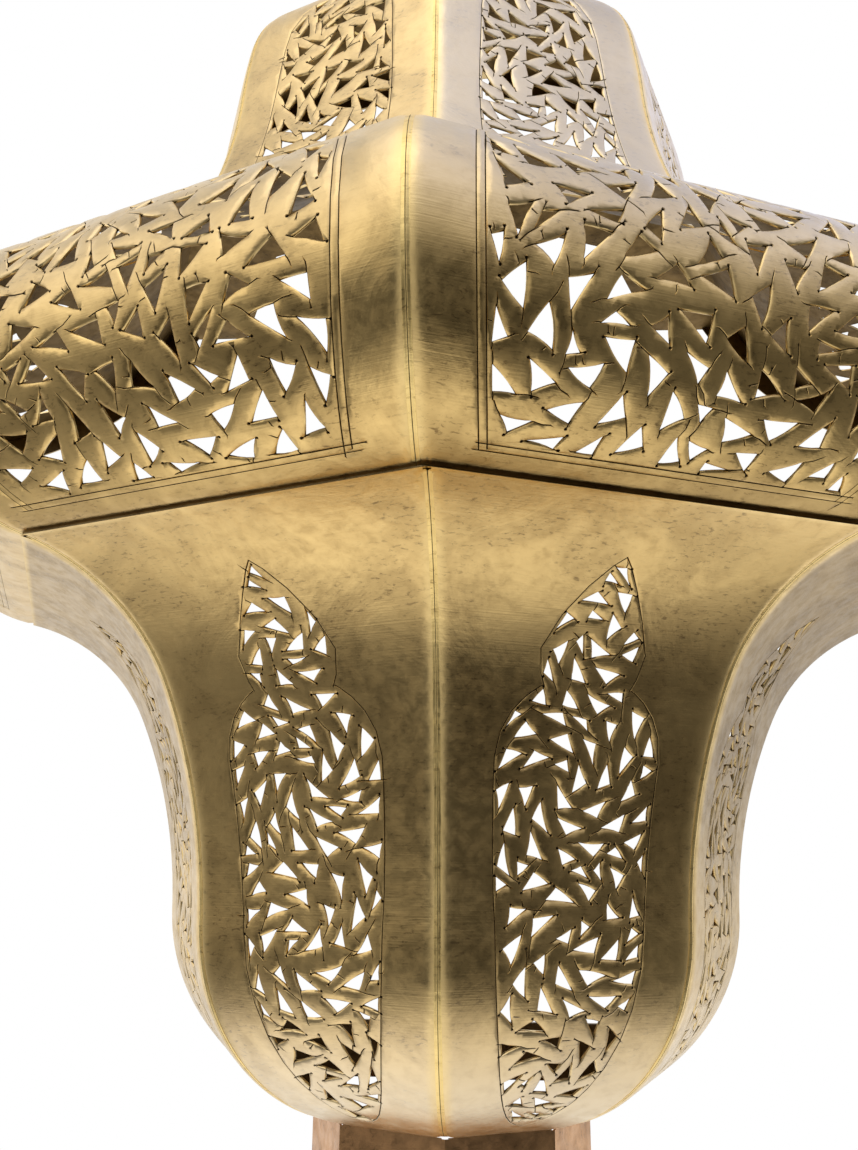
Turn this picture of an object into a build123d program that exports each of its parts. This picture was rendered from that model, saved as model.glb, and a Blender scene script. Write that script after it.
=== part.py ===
from build123d import *
import math
import os
import random
from itertools import combinations

# A half lantern for a wall, folded from pierced brass sheet.
# Frame: the wall is the plane Y = 0, the lantern stands out from it towards -Y, Z is up,
# and the origin is on the back of the spine, level with the rim where roof and body meet.
# Each tier has four facets.  A profile is drawn in the middle of a facet, as the distance
# from the lantern's axis and the height, in millimetres and degrees.

# Driving dimensions of the sheet metal
sheet = 1.0
facet_turn = 45.0
facet_azimuths = {"side_left": -67.5, "front_left": -22.5, "front_right": 22.5, "side_right": 67.5}
seam_azimuths = {"left": -45.0, "front": 0.0, "right": 45.0}
seam_width = 2.0
seam_proud = 0.3
joint_plate = 1.0
plate_recess = 1.5
rim_plate_width = 13.0
neck_plate_width = 33.0
roof_shift = -2.5
edge_run = 6.0

# Driving dimensions of the three profiles: a radius, and how far it turns
rim_apothem = 152.5
body_flare_angle = 194.5
body_flare_radius = 65.0
body_flare_sweep = 52.0
body_waist_radius = 188.0
body_waist_sweep = 21.5
body_foot_radius = 65.0
body_foot_sweep = -83.5
roof_lip_angle = 15.0
roof_lip_radius = 49.0
roof_lip_sweep = 75.0
roof_brow_radius = 32.5
roof_brow_sweep = 75.0
roof_neck_radius = 88.7
roof_neck_sweep = -46.8
tower_lean_angle = 114.0
tower_foot_radius = 165.0
tower_foot_sweep = -19.5
tower_wall_radius = 295.0
tower_wall_sweep = 5.5
tower_dome_radius = 43.0
tower_dome_sweep = 65.0
tower_top_run = 38.0

# Driving dimensions of the pierced windows
roof_margin = 18.5
roof_window_foot = 10.0
roof_window_top = 128.0
body_margin = 17.2
tear_half_width = 15.3
tear_tip = 24.0
tear_widest = 52.0
tear_end = 62.0
tear_full_end = 70.0
flame_full_start = 60.0
flame_start = 63.5
flame_shoulder = 84.0
flame_taper = 138.0
flame_tip = 197.0
tower_margin = 17.5
arch_foot = 14.0
arch_spring = 78.0
arch_tip = 103.0
cut_reach = 3.0

# Driving dimensions of the piercing: the rows of holes, and the whirls' centres on a facet
roof_cut = {"row": 9.6, "long_side": 11.6, "rise": 5.8, "gap": 1.9, "slant": 31.0, "size": 0.82}
body_cut = {"row": 7.6, "long_side": 9.6, "rise": 3.9, "gap": 1.7, "slant": 31.0, "size": 0.88}
tower_cut = {"row": 7.8, "long_side": 9.6, "rise": 4.4, "gap": 1.7, "slant": 30.0, "size": 0.88}
roof_whirls = {
    "a": [(-29, 38), (29, 36), (-27, 92), (28, 90)],
    "b": [(-30, 35), (28, 38), (-26, 89), (27, 93)],
}
body_whirls = {
    "a": [(0, 49), (3, 88), (-3, 133), (1, 174)],
    "b": [(1, 48), (-3, 90), (2, 131), (0, 172)],
}
tower_whirls = {"a": [(3, 36), (-3, 76)], "b": [(-3, 38), (2, 78)]}
smallest_hole = 0.26
ring_spacing = 0.95
filler_grid = 2.0
filler_size = 0.75
filler_gap = 1.2
smallest_filler = 0.18
window_step = 7.0

# Driving dimensions of the frame at the back
edge_width = 10.0
spine_width = 24.0
spine_thickness = 3.0
spine_end_gap = 6.0
strap_thickness = 2.0
strap_height = 18.0
strap_play = 0.4
joggle_run = 4.0
cross_strap_height = 34.0
upper_strap_rise = 67.0
lower_strap_rise = 18.0
screw_spacing = 240.0
screw_hole_radius = 2.75
keyhole_head_radius = 5.0
keyhole_slot_radius = 2.5
keyhole_slot_length = 12.0
keyhole_drop = 32.0
rivet_radius = 1.6
rivet_head_radius = 3.0
rivet_head_height = 1.4
rivet_spacing = 10.0
rivet_play = 0.05

# Driving dimensions of the foot and the crown
collar_apothem = 43.5
collar_height = 24.0
dish_radius = 30.0
dish_angle = 200.0
dish_sweep = 60.0
dish_end_run = 3.0
finial_distance = 12.0
finial_radius = 9.0
finial_stud_radius = 3.0
top_finial_distance = 8.5
top_finial_radius = 7.5
crown_plate_overhang = 4.0
closing_plate = 1.5
crown_neck_apothem = 17.0
crown_neck_height = 9.0
crown_dome_radius = 21.0
crown_dome_sweep = 108.0
crown_dome_angle = 42.0
crown_cap_overhang = 2.5

# Driving dimensions of the lamp
lamp_distance = 60.0
arm_height = 22.0
arm_thickness = 2.0
arm_width = 20.0
foot_height = 36.0
foot_screw_radius = 2.0
foot_screw_spacing = 22.0
foot_screw_head_radius = 3.8
foot_screw_head_height = 2.2
nipple_radius = 5.0
nipple_bore = 3.6
nipple_below = 8.0
nipple_above = 7.0
nut_across_flats = 14.0
nut_thickness = 3.0
thread_play = 0.05
holder_radius = 14.0
holder_wall = 1.2
holder_cup_height = 12.0
cup_floor = 3.0
holder_sleeve_height = 34.0
insert_height = 14.0
contact_radius = 3.0
contact_height = 2.0
shell_wall = 0.5
shell_height = 20.0
cap_radius = 6.95
cap_play = 0.35
cap_height = 17.0
cap_floor = 1.5
tip_radius = 2.4
tip_height = 1.6
cap_turns = 5
thread_pitch = 2.82
glass_wall = 0.8
glass_seat = 8.0
glass_neck_radius = 6.0
glass_neck_run = 10.0
glass_flare_radius = 12.0
glass_flare_sweep = 38.0
glass_belly_radius = 42.0
glass_taper_radius = 90.0
glass_taper_sweep = 22.0
stem_radius = 2.2
stem_height = 22.0
stem_disc = 1.0
filament_radius = 0.9
filament_height = 34.0
filament_spread = 4.0

# Driving dimensions of the wiring
block_size = (22.0, 14.0, 18.0)
block_drop = 40.0
block_rounding = 1.5
block_screw_radius = 2.0
block_well_depth = 3.0
grommet_drop = 66.0
grommet_hole_radius = 6.0
grommet_bore = 4.0
grommet_flange = 2.5
grommet_flange_height = 2.0
lead_radius = 2.2
lead_bend_share = 0.45

half_turn = math.radians(facet_turn / 2)
# Farther from the axis than any part of the lantern, for shapes that are cut back afterwards
beyond = 2.6 * rim_apothem


def walk(start, heading, arcs, length):
    """Point and heading after a length along a chain of arcs; a sweep of 0 is a straight run.

    Before the start and past the end, the chain goes on straight.
    """
    (out, height), angle = start, math.radians(heading)
    if length > 0:
        for radius, sweep in arcs:
            turn = math.radians(sweep)
            run = radius * abs(turn) if sweep else radius
            share = min(1, length / run)
            if sweep:
                side = math.copysign(radius, sweep)
                out -= side * math.sin(angle)
                height += side * math.cos(angle)
                angle += share * turn
                out += side * math.sin(angle)
                height -= side * math.cos(angle)
            else:
                out += share * run * math.cos(angle)
                height += share * run * math.sin(angle)
            length -= share * run
            if share < 1:
                break
    return out + length * math.cos(angle), height + length * math.sin(angle), angle


def chain_length(arcs):
    """Length of a chain of arcs and straight runs."""
    return sum(radius * abs(math.radians(sweep)) if sweep else radius for radius, sweep in arcs)


# The three tiers: inward is +1 where the inside lies left of the way the profile runs
body = {"start": (rim_apothem, -joint_plate / 2), "heading": body_flare_angle, "inward": -1, "shift": 0.0}
body["arcs"] = [
    (body_flare_radius, body_flare_sweep),
    (body_waist_radius, body_waist_sweep),
    (body_foot_radius, body_foot_sweep),
]
roof = {"start": (rim_apothem, joint_plate / 2), "heading": roof_lip_angle, "inward": 1, "shift": roof_shift}
roof["arcs"] = [
    (roof_lip_radius, roof_lip_sweep),
    (roof_brow_radius, roof_brow_sweep),
    (roof_neck_radius, roof_neck_sweep),
]
for tier in (body, roof):
    tier["length"] = chain_length(tier["arcs"])
neck_out, neck_height, _ = walk(roof["start"], roof["heading"], roof["arcs"], roof["length"])
tower = {"start": (neck_out, neck_height + joint_plate), "heading": tower_lean_angle, "inward": 1}
tower["shift"] = roof_shift
tower["arcs"] = [
    (tower_foot_radius, tower_foot_sweep),
    (tower_wall_radius, tower_wall_sweep),
    (tower_dome_radius, tower_dome_sweep),
    (tower_top_run, 0),
]
tower["length"] = chain_length(tower["arcs"])
foot_out, foot_bottom, _ = walk(body["start"], body["heading"], body["arcs"], body["length"])
top_out, tower_top, _ = walk(tower["start"], tower["heading"], tower["arcs"], tower["length"])
body["heights"] = (foot_bottom - sheet, -joint_plate / 2)
roof["heights"] = (joint_plate / 2, neck_height)
tower["heights"] = (neck_height + joint_plate, tower_top)
body["ends"] = (edge_run, 0)
roof["ends"] = (edge_run, edge_run)
tower["ends"] = (edge_run, edge_run)
tiers = {"body": body, "roof": roof, "tower": tower}


def at(tier, length):
    """Distance from the axis, height and heading at a length along a tier's outer profile."""
    return walk(tier["start"], tier["heading"], tier["arcs"], length)


def level(tier, height):
    """Distance from the axis and heading where the outer profile crosses a height."""
    low, high = 0, tier["length"]
    rising = at(tier, high)[1] > at(tier, low)[1]
    for _ in range(40):
        middle = (low + high) / 2
        if (at(tier, middle)[1] < height) == rising:
            low = middle
        else:
            high = middle
    out, _, angle = at(tier, low)
    return out, angle


def corner(out):
    """Distance from the axis to a corner of the octagon whose facets are out away."""
    return out / math.cos(half_turn)


def profile(tier, inset):
    """Edges of a tier's profile in the plane X = 0, moved inward by inset, ends run on straight."""
    before, after = tier["ends"]
    move = inset * tier["inward"]
    angle = math.radians(tier["heading"])
    start = (tier["start"][0] - move * math.sin(angle), tier["start"][1] + move * math.cos(angle))
    arcs = [(before, 0)]
    for radius, sweep in tier["arcs"]:
        arcs.append((radius - move * math.copysign(1, sweep) if sweep else radius, sweep))
    arcs.append((after, 0))
    arcs = [(run, turn) for run, turn in arcs if run]
    start = (start[0] - before * math.cos(angle), start[1] - before * math.sin(angle))
    edges, length = [], 0
    for piece in arcs:
        run = chain_length([piece])
        ends = [walk(start, tier["heading"], arcs, length + share * run) for share in (0, 0.5, 1)]
        points = [(0, -out, height) for out, height, _ in ends]
        if piece[1]:
            edges.append(Edge.make_three_point_arc(*points))
        else:
            edges.append(Edge.make_line(points[0], points[2]))
        length += run
    return edges


def strip(tier, outer, inner):
    """Face between the profile moved inward by outer and by inner."""
    out_edges, in_edges = profile(tier, outer), profile(tier, inner)
    start_cap = Edge.make_line(out_edges[0] @ 0, in_edges[0] @ 0)
    end_cap = Edge.make_line(out_edges[-1] @ 1, in_edges[-1] @ 1)
    return Face(Wire(out_edges + in_edges + [start_cap, end_cap]))


def filled(tier, inset):
    """Face from the lantern's axis out to the profile moved inward by inset."""
    edges = profile(tier, inset)
    first, last = edges[0] @ 0, edges[-1] @ 1
    route = [last, Vector(0, 0, last.Z), Vector(0, 0, first.Z), first]
    return Face(Wire(edges + [Edge.make_line(one, other) for one, other in zip(route, route[1:])]))


def wide(face, half_width):
    """A profile face carried across the facet, to both sides of its middle."""
    return extrude(face, amount=half_width, dir=(1, 0, 0), both=True)


def sector(low_inset, high_inset, heights):
    """Prism between the two mitre planes of a facet, each moved into the facet by its inset."""
    lean = math.tan(half_turn)
    low, high = low_inset / math.cos(half_turn), high_inset / math.cos(half_turn)
    meet = (low + high) / 2 / lean
    points = [((low - high) / 2, -meet), (beyond * lean - high, -beyond), (low - beyond * lean, -beyond)]
    base = Face(Wire.make_polygon([(x, y, heights[0]) for x, y in points], close=True))
    return extrude(base, amount=heights[1] - heights[0], dir=(0, 0, 1))


def turned(shape, azimuth, shift=0.0):
    """A facet shape turned about the lantern's axis to its azimuth, and moved sideways by shift."""
    return Pos(shift, 0, 0) * Rot(0, 0, azimuth) * shape


def folded(face, heights, shift=0.0):
    """A profile face folded round all four facets, as one sheet."""
    facet = wide(face, beyond) & sector(0, 0, heights)
    sides = [turned(facet, azimuth, shift) for azimuth in facet_azimuths.values()]
    return sides[0].fuse(*sides[1:]).clean()


def polygon_area(points):
    """Signed area of a flat outline, positive when it runs anticlockwise."""
    pairs = zip(points, points[1:] + points[:1])
    return sum(ax * by - bx * ay for (ax, ay), (bx, by) in pairs) / 2


def trim(points, through, normal):
    """The part of a convex outline on the side of a line that the normal points to."""
    kept = []
    for (ax, ay), (bx, by) in zip(points, points[1:] + points[:1]):
        before = (ax - through[0]) * normal[0] + (ay - through[1]) * normal[1]
        after = (bx - through[0]) * normal[0] + (by - through[1]) * normal[1]
        if before >= 0:
            kept.append((ax, ay))
        if before * after < 0:
            share = before / (before - after)
            kept.append((ax + share * (bx - ax), ay + share * (by - ay)))
    return kept


def sides_of(points):
    """Each side of an anticlockwise outline, as its first point and its outward normal."""
    found = []
    for (ax, ay), (bx, by) in zip(points, points[1:] + points[:1]):
        length = math.hypot(bx - ax, by - ay)
        if length > 0.05:
            found.append(((ax, ay), ((by - ay) / length, (ax - bx) / length)))
    return found


def clear_of(points, other, gap):
    """The largest part of an outline that one straight cut leaves a gap away from another."""
    best = []
    for (px, py), (nx, ny) in sides_of(other):
        part = trim(points, (px + nx * gap, py + ny * gap), (nx, ny))
        if len(part) >= 3 and (not best or polygon_area(part) > polygon_area(best)):
            best = part
    return best


def within(points, x, y):
    """Whether a point lies inside an anticlockwise convex outline."""
    return all((x - px) * nx + (y - py) * ny < 0 for (px, py), (nx, ny) in sides_of(points))


def whirl_holes(fields, whirls, row, long_side, rise, gap, slant, size, seed):
    """Holes chiselled in rings of slanting triangles round the whirls' centres.

    A triangle's long side faces the centre of its whirl, turned by slant.  Each new one is cut
    back from those already made, so that a leaf of sheet about a gap wide stays between, and
    the largest triangle between the corners left is the hole.  Two more passes over a fine
    grid fill the places left over, the second with smaller holes.  At the end each hole is made
    smaller about its middle, by size, so that the leaves get wider.
    """
    draw = random.Random(seed)
    holes = []

    def chisel(x, y, share, least, leaf):
        field = next((one for one in fields if within(one, x, y)), None)
        if field is None:
            return
        cx, cy = min(whirls, key=lambda whirl: math.hypot(x - whirl[0], y - whirl[1]))
        outward = math.atan2(y - cy, x - cx)
        turn = outward - math.pi / 2 + math.radians(slant + draw.uniform(-6, 6))
        ux, uy = math.cos(turn), math.sin(turn)
        half = share * long_side * draw.uniform(0.46, 0.54)
        tall = share * rise * draw.uniform(0.9, 1.15)
        lean = half * draw.uniform(-0.15, 0.4)
        corners = [(-half, -tall / 3), (half, -tall / 3), (lean, tall * 2 / 3)]
        hole = [(x + ux * p - uy * q, y + uy * p + ux * q) for p, q in corners]
        for (px, py), (nx, ny) in sides_of(field):
            hole = trim(hole, (px, py), (-nx, -ny))
        for hx, hy, other in holes:
            if hole and math.hypot(hx - x, hy - y) < 2 * long_side:
                hole = clear_of(hole, other, leaf)
        if len(hole) < 3:
            return
        hole = list(max(combinations(hole, 3), key=polygon_area))
        if polygon_area(hole) >= least:
            middle_x = sum(p for p, _ in hole) / len(hole)
            middle_y = sum(q for _, q in hole) / len(hole)
            holes.append((middle_x, middle_y, hole))

    triangle = long_side * rise
    xs = [x for field in fields for x, _ in field]
    ys = [y for field in fields for _, y in field]
    for ring in range(math.ceil((max(ys) - min(ys)) / row)):
        for cx, cy in whirls:
            radius = (ring + 0.55) * row
            count = max(3, round(2 * math.pi * radius / (ring_spacing * long_side)))
            phase = draw.random()
            for number in range(count):
                angle = 2 * math.pi * (number + phase) / count
                x, y = cx + radius * math.cos(angle), cy + radius * math.sin(angle)
                if min(whirls, key=lambda whirl: math.hypot(x - whirl[0], y - whirl[1])) == (cx, cy):
                    chisel(x, y, 1, smallest_hole * triangle, gap)
    for share in (1, filler_size):
        for j in range(int((max(ys) - min(ys)) / filler_grid)):
            for i in range(int((max(xs) - min(xs)) / filler_grid)):
                x = min(xs) + filler_grid * i + draw.random()
                y = min(ys) + filler_grid * j + draw.random()
                chisel(x, y, share, smallest_filler * triangle, filler_gap * gap)
    return [[(x + size * (p - x), y + size * (q - y)) for p, q in hole] for x, y, hole in holes]


def window(half_width, low, high, swell=None, rounds=(2, 2), full=None):
    """Outline of a window: half_width(s) on both sides from low to high along the profile.

    Outside the stretch swell, the width fades to nothing at the ends of full, and rounds
    gives the power of the curve at each end: 1 is a point, 2 is an ellipse.
    """
    full = full or (low, high)
    swell = swell or (low, high)
    steps = math.ceil((high - low) / window_step)
    right = []
    for step in range(steps + 1):
        s = low + (high - low) * (1 - math.cos(math.pi * step / steps)) / 2
        fade = 1.0
        for end, belly, power in zip(full, swell, rounds):
            past = (belly - s) / (belly - end) if belly != end else 0
            if past > 0:
                fade = max(0, 1 - past**power) ** (1 / power)
        right.append((fade * half_width(s), s))
    left = [(-x, s) for x, s in reversed(right) if x > 0.01]
    return right + left


def half_facet(tier, s):
    """Half the width of a facet at a length along its profile."""
    return at(tier, s)[0] * math.tan(half_turn)


def straight_sides(tier, margin, low, high):
    """Half-width of a window whose straight sides keep a margin from the facet's edge at both ends."""
    low_width = half_facet(tier, low) - margin
    high_width = half_facet(tier, high) - margin
    return lambda s: low_width + (high_width - low_width) * (s - low) / (high - low)


roof_field = window(lambda s: half_facet(roof, s) - roof_margin, roof_window_foot, roof_window_top)
tear_field = window(
    lambda s: tear_half_width,
    tear_tip,
    tear_end,
    swell=(tear_widest, tear_widest),
    rounds=(1.15, 2),
    full=(tear_tip, tear_full_end),
)
flame_field = window(
    straight_sides(body, body_margin, flame_shoulder, flame_taper),
    flame_start,
    flame_tip,
    swell=(flame_shoulder, flame_taper),
    rounds=(2, 1.7),
    full=(flame_full_start, flame_tip),
)
arch_field = window(
    straight_sides(tower, tower_margin, arch_foot, arch_spring),
    arch_foot,
    arch_tip,
    swell=(arch_foot, arch_spring),
    rounds=(2, 1.9),
)

# Two hand-cut versions of each tier's piercing, used in turn round the lantern
piercings = {}
for version, seed in (("a", 9), ("b", 14)):
    piercings["roof", version] = whirl_holes([roof_field], roof_whirls[version], seed=seed, **roof_cut)
for version, seed in (("a", 18), ("b", 24)):
    fields = [tear_field, flame_field]
    piercings["body", version] = whirl_holes(fields, body_whirls[version], seed=seed, **body_cut)
for version, seed in (("a", 3), ("b", 24)):
    piercings["tower", version] = whirl_holes([arch_field], tower_whirls[version], seed=seed, **tower_cut)
piercing_of = {"side_left": "b", "front_left": "a", "front_right": "b", "side_right": "a"}


def punch(tier, hole):
    """Prism through the sheet under one hole, square to the sheet at the hole's middle."""
    middle = sum(s for _, s in hole) / len(hole)
    out, height, angle = at(tier, middle)
    along = Vector(0, -math.cos(angle), math.sin(angle))
    across = Vector(0, -math.sin(angle), -math.cos(angle))
    base = Vector(0, -out, height) - across * cut_reach
    corners = [base + Vector(x, 0, 0) + along * (s - middle) for x, s in hole]
    return Solid.extrude(Face(Wire.make_polygon(corners, close=True)), across * (2 * cut_reach))


nodes = {}

# Panels: one facet of sheet each, cut at the mitres to leave room for the soldered seams
for tier_name, tier in tiers.items():
    whole = wide(strip(tier, 0, sheet), corner(tier["start"][0]))
    blank = whole & sector(seam_width / 2, seam_width / 2, tier["heights"])
    for version in ("a", "b"):
        punches = [punch(tier, hole) for hole in piercings[tier_name, version]]
        print(tier_name, version, len(punches), "holes")
        for side, azimuth in facet_azimuths.items():
            if piercing_of[side] != version:
                continue
            insets = (seam_width / 2, seam_width / 2)
            if side == "side_left":
                insets = (0, seam_width / 2)
            if side == "side_right":
                insets = (seam_width / 2, 0)
            plain = blank if side.startswith("front") else whole & sector(*insets, tier["heights"])
            panel = plain.cut(*punches)
            nodes[f"{tier_name}_panel_{side}"] = turned(panel, azimuth, tier["shift"])

# Seams: the strip of solder and filed edge between two panels, a little proud outside
for tier_name, tier in tiers.items():
    bead = wide(strip(tier, -seam_proud, sheet), corner(tier["start"][0]))
    half = bead & (sector(0, 0, tier["heights"]) - sector(seam_width / 2, 0, tier["heights"]))
    half = turned(half, facet_turn / 2)
    seam = half.fuse(half.mirror(Plane.YZ)).clean()
    for side, azimuth in seam_azimuths.items():
        nodes[f"{tier_name}_seam_{side}"] = turned(seam, azimuth, tier["shift"])

# Back edges: each side panel's edge is stiffened by a flat strip against the wall
for tier_name, tier in tiers.items():
    low, high = tier["heights"]
    facet = wide(strip(tier, sheet, sheet + edge_width), corner(tier["start"][0]))
    slab = Pos(beyond / 2, -sheet / 2, (low + high) / 2) * Box(beyond, sheet, high - low)
    for side, azimuth in (("left", -67.5), ("right", 67.5)):
        reach_side = slab if side == "right" else slab.mirror(Plane.YZ)
        nodes[f"{tier_name}_back_edge_{side}"] = turned(facet, azimuth, tier["shift"]) & reach_side


def flat_ring(outer, inner, low, high, shift):
    """Half-octagon ring with its edge outer from the axis, and a hole inner from it."""
    corners = [(0, -outer, low), (0, -outer, high), (0, -inner, high), (0, -inner, low)]
    return folded(Face(Wire.make_polygon(corners, close=True)), (low - 1, high + 1), shift)


rim_outer = rim_apothem - plate_recess
rim_inner = rim_outer - rim_plate_width
nodes["rim_plate"] = flat_ring(rim_outer, rim_inner, -joint_plate / 2, joint_plate / 2, roof_shift / 2)
neck_outer = neck_out + plate_recess
neck_inner = neck_outer - neck_plate_width
nodes["neck_plate"] = flat_ring(neck_outer, neck_inner, neck_height, neck_height + joint_plate, roof_shift)


on_foot = (Align.CENTER, Align.CENTER, Align.MIN)


def rod(radius, length, centre, toward):
    """Round rod from a centre point, towards a direction."""
    return Plane(origin=centre, z_dir=toward) * Cylinder(radius, length, align=on_foot)


forward = (0, -1, 0)
upward = (0, 0, 1)

# Spine: one flat bar down the wall, with the keyhole, the screw holes and the cable hole in it
spine_bottom = foot_bottom + spine_end_gap
spine_top = tower_top - spine_end_gap
spine = Pos(0, -spine_thickness / 2, (spine_bottom + spine_top) / 2) * Box(
    spine_width, spine_thickness, spine_top - spine_bottom
)
spine = fillet(spine.edges().filter_by(Axis.Y), spine_width / 4)
keyhole_height = spine_top - keyhole_drop
through = spine_thickness + 2
spine -= rod(keyhole_head_radius, through, (0, 1, keyhole_height), forward)
spine -= rod(keyhole_slot_radius, through, (0, 1, keyhole_height + keyhole_slot_length), forward)
slot_middle = keyhole_height + keyhole_slot_length / 2
slot = Box(2 * keyhole_slot_radius, through, keyhole_slot_length)
spine -= Pos(0, -spine_thickness / 2, slot_middle) * slot
spine -= rod(grommet_hole_radius, through, (0, 1, -grommet_drop), forward)

# Straps: flat bars across the back, stepped forward over the spine
strap_heights = {
    "lower_strap": foot_bottom + lower_strap_rise,
    "cross_strap": cross_strap_height,
    "upper_strap": neck_height + upper_strap_rise,
}
strap_tiers = {"lower_strap": body, "cross_strap": roof, "upper_strap": tower}
step_in = spine_width / 2 + strap_play
step_out = step_in + joggle_run


def strap_bar(height, half_length):
    """Flat bar on the back edges, its middle stepped forward over the spine."""
    step = spine_thickness - sheet
    back = [(half_length, -sheet), (step_out, -sheet), (step_in, -sheet - step)]
    back += [(-x, y) for x, y in reversed(back)]
    front = [(x, y - strap_thickness) for x, y in reversed(back)]
    low = height - strap_height / 2
    face = Face(Wire.make_polygon([(x, y, low) for x, y in back + front], close=True))
    return extrude(face, amount=strap_height, dir=(0, 0, 1))


for name, height in strap_heights.items():
    tier = strap_tiers[name]
    room = folded(filled(tier, sheet + strap_play), tier["heights"], tier["shift"])
    nodes[name] = strap_bar(height, corner(2 * rim_apothem)) & room
for side in (-1, 1):
    hole_foot = (side * screw_spacing / 2, 0, cross_strap_height)
    nodes["cross_strap"] -= rod(screw_hole_radius, through, hole_foot, forward)


def rivet(x, depth, height):
    """Round-headed rivet through depth of metal from the wall plane, and the hole it needs."""
    shank = rod(rivet_radius, depth, (x, 0, height), forward)
    ball_radius = (rivet_head_radius**2 + rivet_head_height**2) / (2 * rivet_head_height)
    ball = Pos(x, -depth - rivet_head_height + ball_radius, height) * Sphere(ball_radius)
    head = ball & rod(rivet_head_radius, rivet_head_height, (x, -depth, height), forward)
    hole = rod(rivet_radius + rivet_play, depth + 2, (x, 1, height), forward)
    return shank + head, hole


# Rivets: two at each end of a strap through the back edges, and two through the spine
rivets, rivet_holes = [], []
for name, height in strap_heights.items():
    tier = strap_tiers[name]
    for rise in (-rivet_spacing / 2, rivet_spacing / 2):
        out, angle = level(tier, height + rise)
        middle = corner(out - (sheet + edge_width / 2) / abs(math.sin(angle)))
        places = [(0, spine_thickness + strap_thickness)]
        places += [(side * middle + tier["shift"], sheet + strap_thickness) for side in (-1, 1)]
        for x, depth in places:
            pin, hole = rivet(x, depth, height + rise)
            rivets.append(pin)
            rivet_holes.append(hole)
holed = list(strap_heights) + [name for name in nodes if "back_edge" in name]
for name in holed:
    nodes[name] = nodes[name].cut(*rivet_holes)
nodes["spine"] = spine.cut(*rivet_holes)
nodes["strap_rivets"] = rivets

# Foot: a collar under the body, closed by a dish, a plate and a turned drop finial
collar_bottom = foot_bottom - collar_height
dish = {"start": (collar_apothem, collar_bottom), "heading": dish_angle, "inward": -1, "ends": (edge_run, 0)}
dish["arcs"] = [(dish_radius, dish_sweep), (dish_end_run, 0)]
dish["length"] = chain_length(dish["arcs"])
dish_out, dish_bottom, _ = at(dish, dish["length"])
collar = flat_ring(collar_apothem, collar_apothem - sheet, collar_bottom, foot_bottom + edge_run, 0)
collar = collar - folded(filled(body, 0), body["heights"])
nodes["foot_collar"] = collar.cut(*[nodes[name] for name in nodes if name.startswith("body_seam")])
nodes["foot_dish"] = folded(strip(dish, 0, sheet), (dish_bottom - sheet, collar_bottom))


def flat_plate(out, low, thickness, shift):
    """Flat half-octagon plate with its edge out from the axis."""
    corners = [(0, -out, low), (0, -out, low + thickness), (0, 0, low + thickness), (0, 0, low)]
    return folded(Face(Wire.make_polygon(corners, close=True)), (low - 1, low + thickness + 1), shift)


def finial(radius, toward):
    """Turned finial on the origin: a disc, a waist, a ball and a point, going up or down."""
    disc_radius, disc_height = 0.85 * radius, 0.3 * radius
    waist_radius, waist_height = 0.45 * radius, 0.45 * radius
    point_radius, end_radius, point_height = 0.42 * radius, 0.1 * radius, 0.9 * radius
    sunk = math.sqrt(radius**2 - waist_radius**2)
    ball_middle = disc_height + waist_height + sunk
    shape = rod(disc_radius, disc_height, (0, 0, 0), upward)
    shape += rod(waist_radius, ball_middle, (0, 0, 0), upward)
    shape += Pos(0, 0, ball_middle) * Sphere(radius)
    point_foot = ball_middle + math.sqrt(radius**2 - point_radius**2)
    shape += Pos(0, 0, point_foot) * Cone(point_radius, end_radius, point_height, align=on_foot)
    return shape if toward > 0 else shape.mirror(Plane.XY)


foot_plate_bottom = dish_bottom - closing_plate
foot_plate = flat_plate(dish_out, foot_plate_bottom, closing_plate, 0)
stud_foot = (0, -finial_distance, foot_plate_bottom)
stud_hole = rod(finial_stud_radius + thread_play, closing_plate + 1, stud_foot, upward)
nodes["foot_plate"] = foot_plate - stud_hole
drop = Pos(*stud_foot) * finial(finial_radius, -1)
nodes["drop_finial"] = drop + rod(finial_stud_radius, closing_plate + nut_thickness, stud_foot, upward)


def hex_nut(bore, bottom):
    """Hexagon nut round the Z axis, with a bore and its lower face at bottom."""
    hexagon = Pos(0, 0, bottom) * RegularPolygon(nut_across_flats / 2, 6, major_radius=False)
    hole = rod(bore, 3 * nut_thickness, (0, 0, bottom - nut_thickness), upward)
    return extrude(hexagon, nut_thickness) - hole


finial_nut = Pos(0, -finial_distance, 0) * hex_nut(finial_stud_radius + thread_play, dish_bottom)

# Crown: a plate on the tower's top, a short neck, a dome and a turned finial
crown_foot = tower_top + closing_plate
nodes["crown_plate"] = flat_plate(top_out + crown_plate_overhang, tower_top, closing_plate, roof_shift)
dome_foot = crown_foot + crown_neck_height
neck_bore = crown_neck_apothem - sheet
nodes["crown_neck"] = flat_ring(crown_neck_apothem, neck_bore, crown_foot, dome_foot, roof_shift)
dome = {"start": (crown_neck_apothem, dome_foot), "heading": crown_dome_angle, "inward": 1}
dome["ends"] = (edge_run, edge_run)
dome["arcs"] = [(crown_dome_radius, crown_dome_sweep)]
dome["length"] = chain_length(dome["arcs"])
dome_out, dome_top, _ = at(dome, dome["length"])
nodes["crown_dome"] = folded(strip(dome, 0, sheet), (dome_foot, dome_top), roof_shift)
nodes["crown_cap"] = flat_plate(dome_out + crown_cap_overhang, dome_top, closing_plate, roof_shift)
top_finial_foot = Pos(roof_shift, -top_finial_distance, dome_top + closing_plate)
nodes["top_finial"] = top_finial_foot * finial(top_finial_radius, 1)

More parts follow.
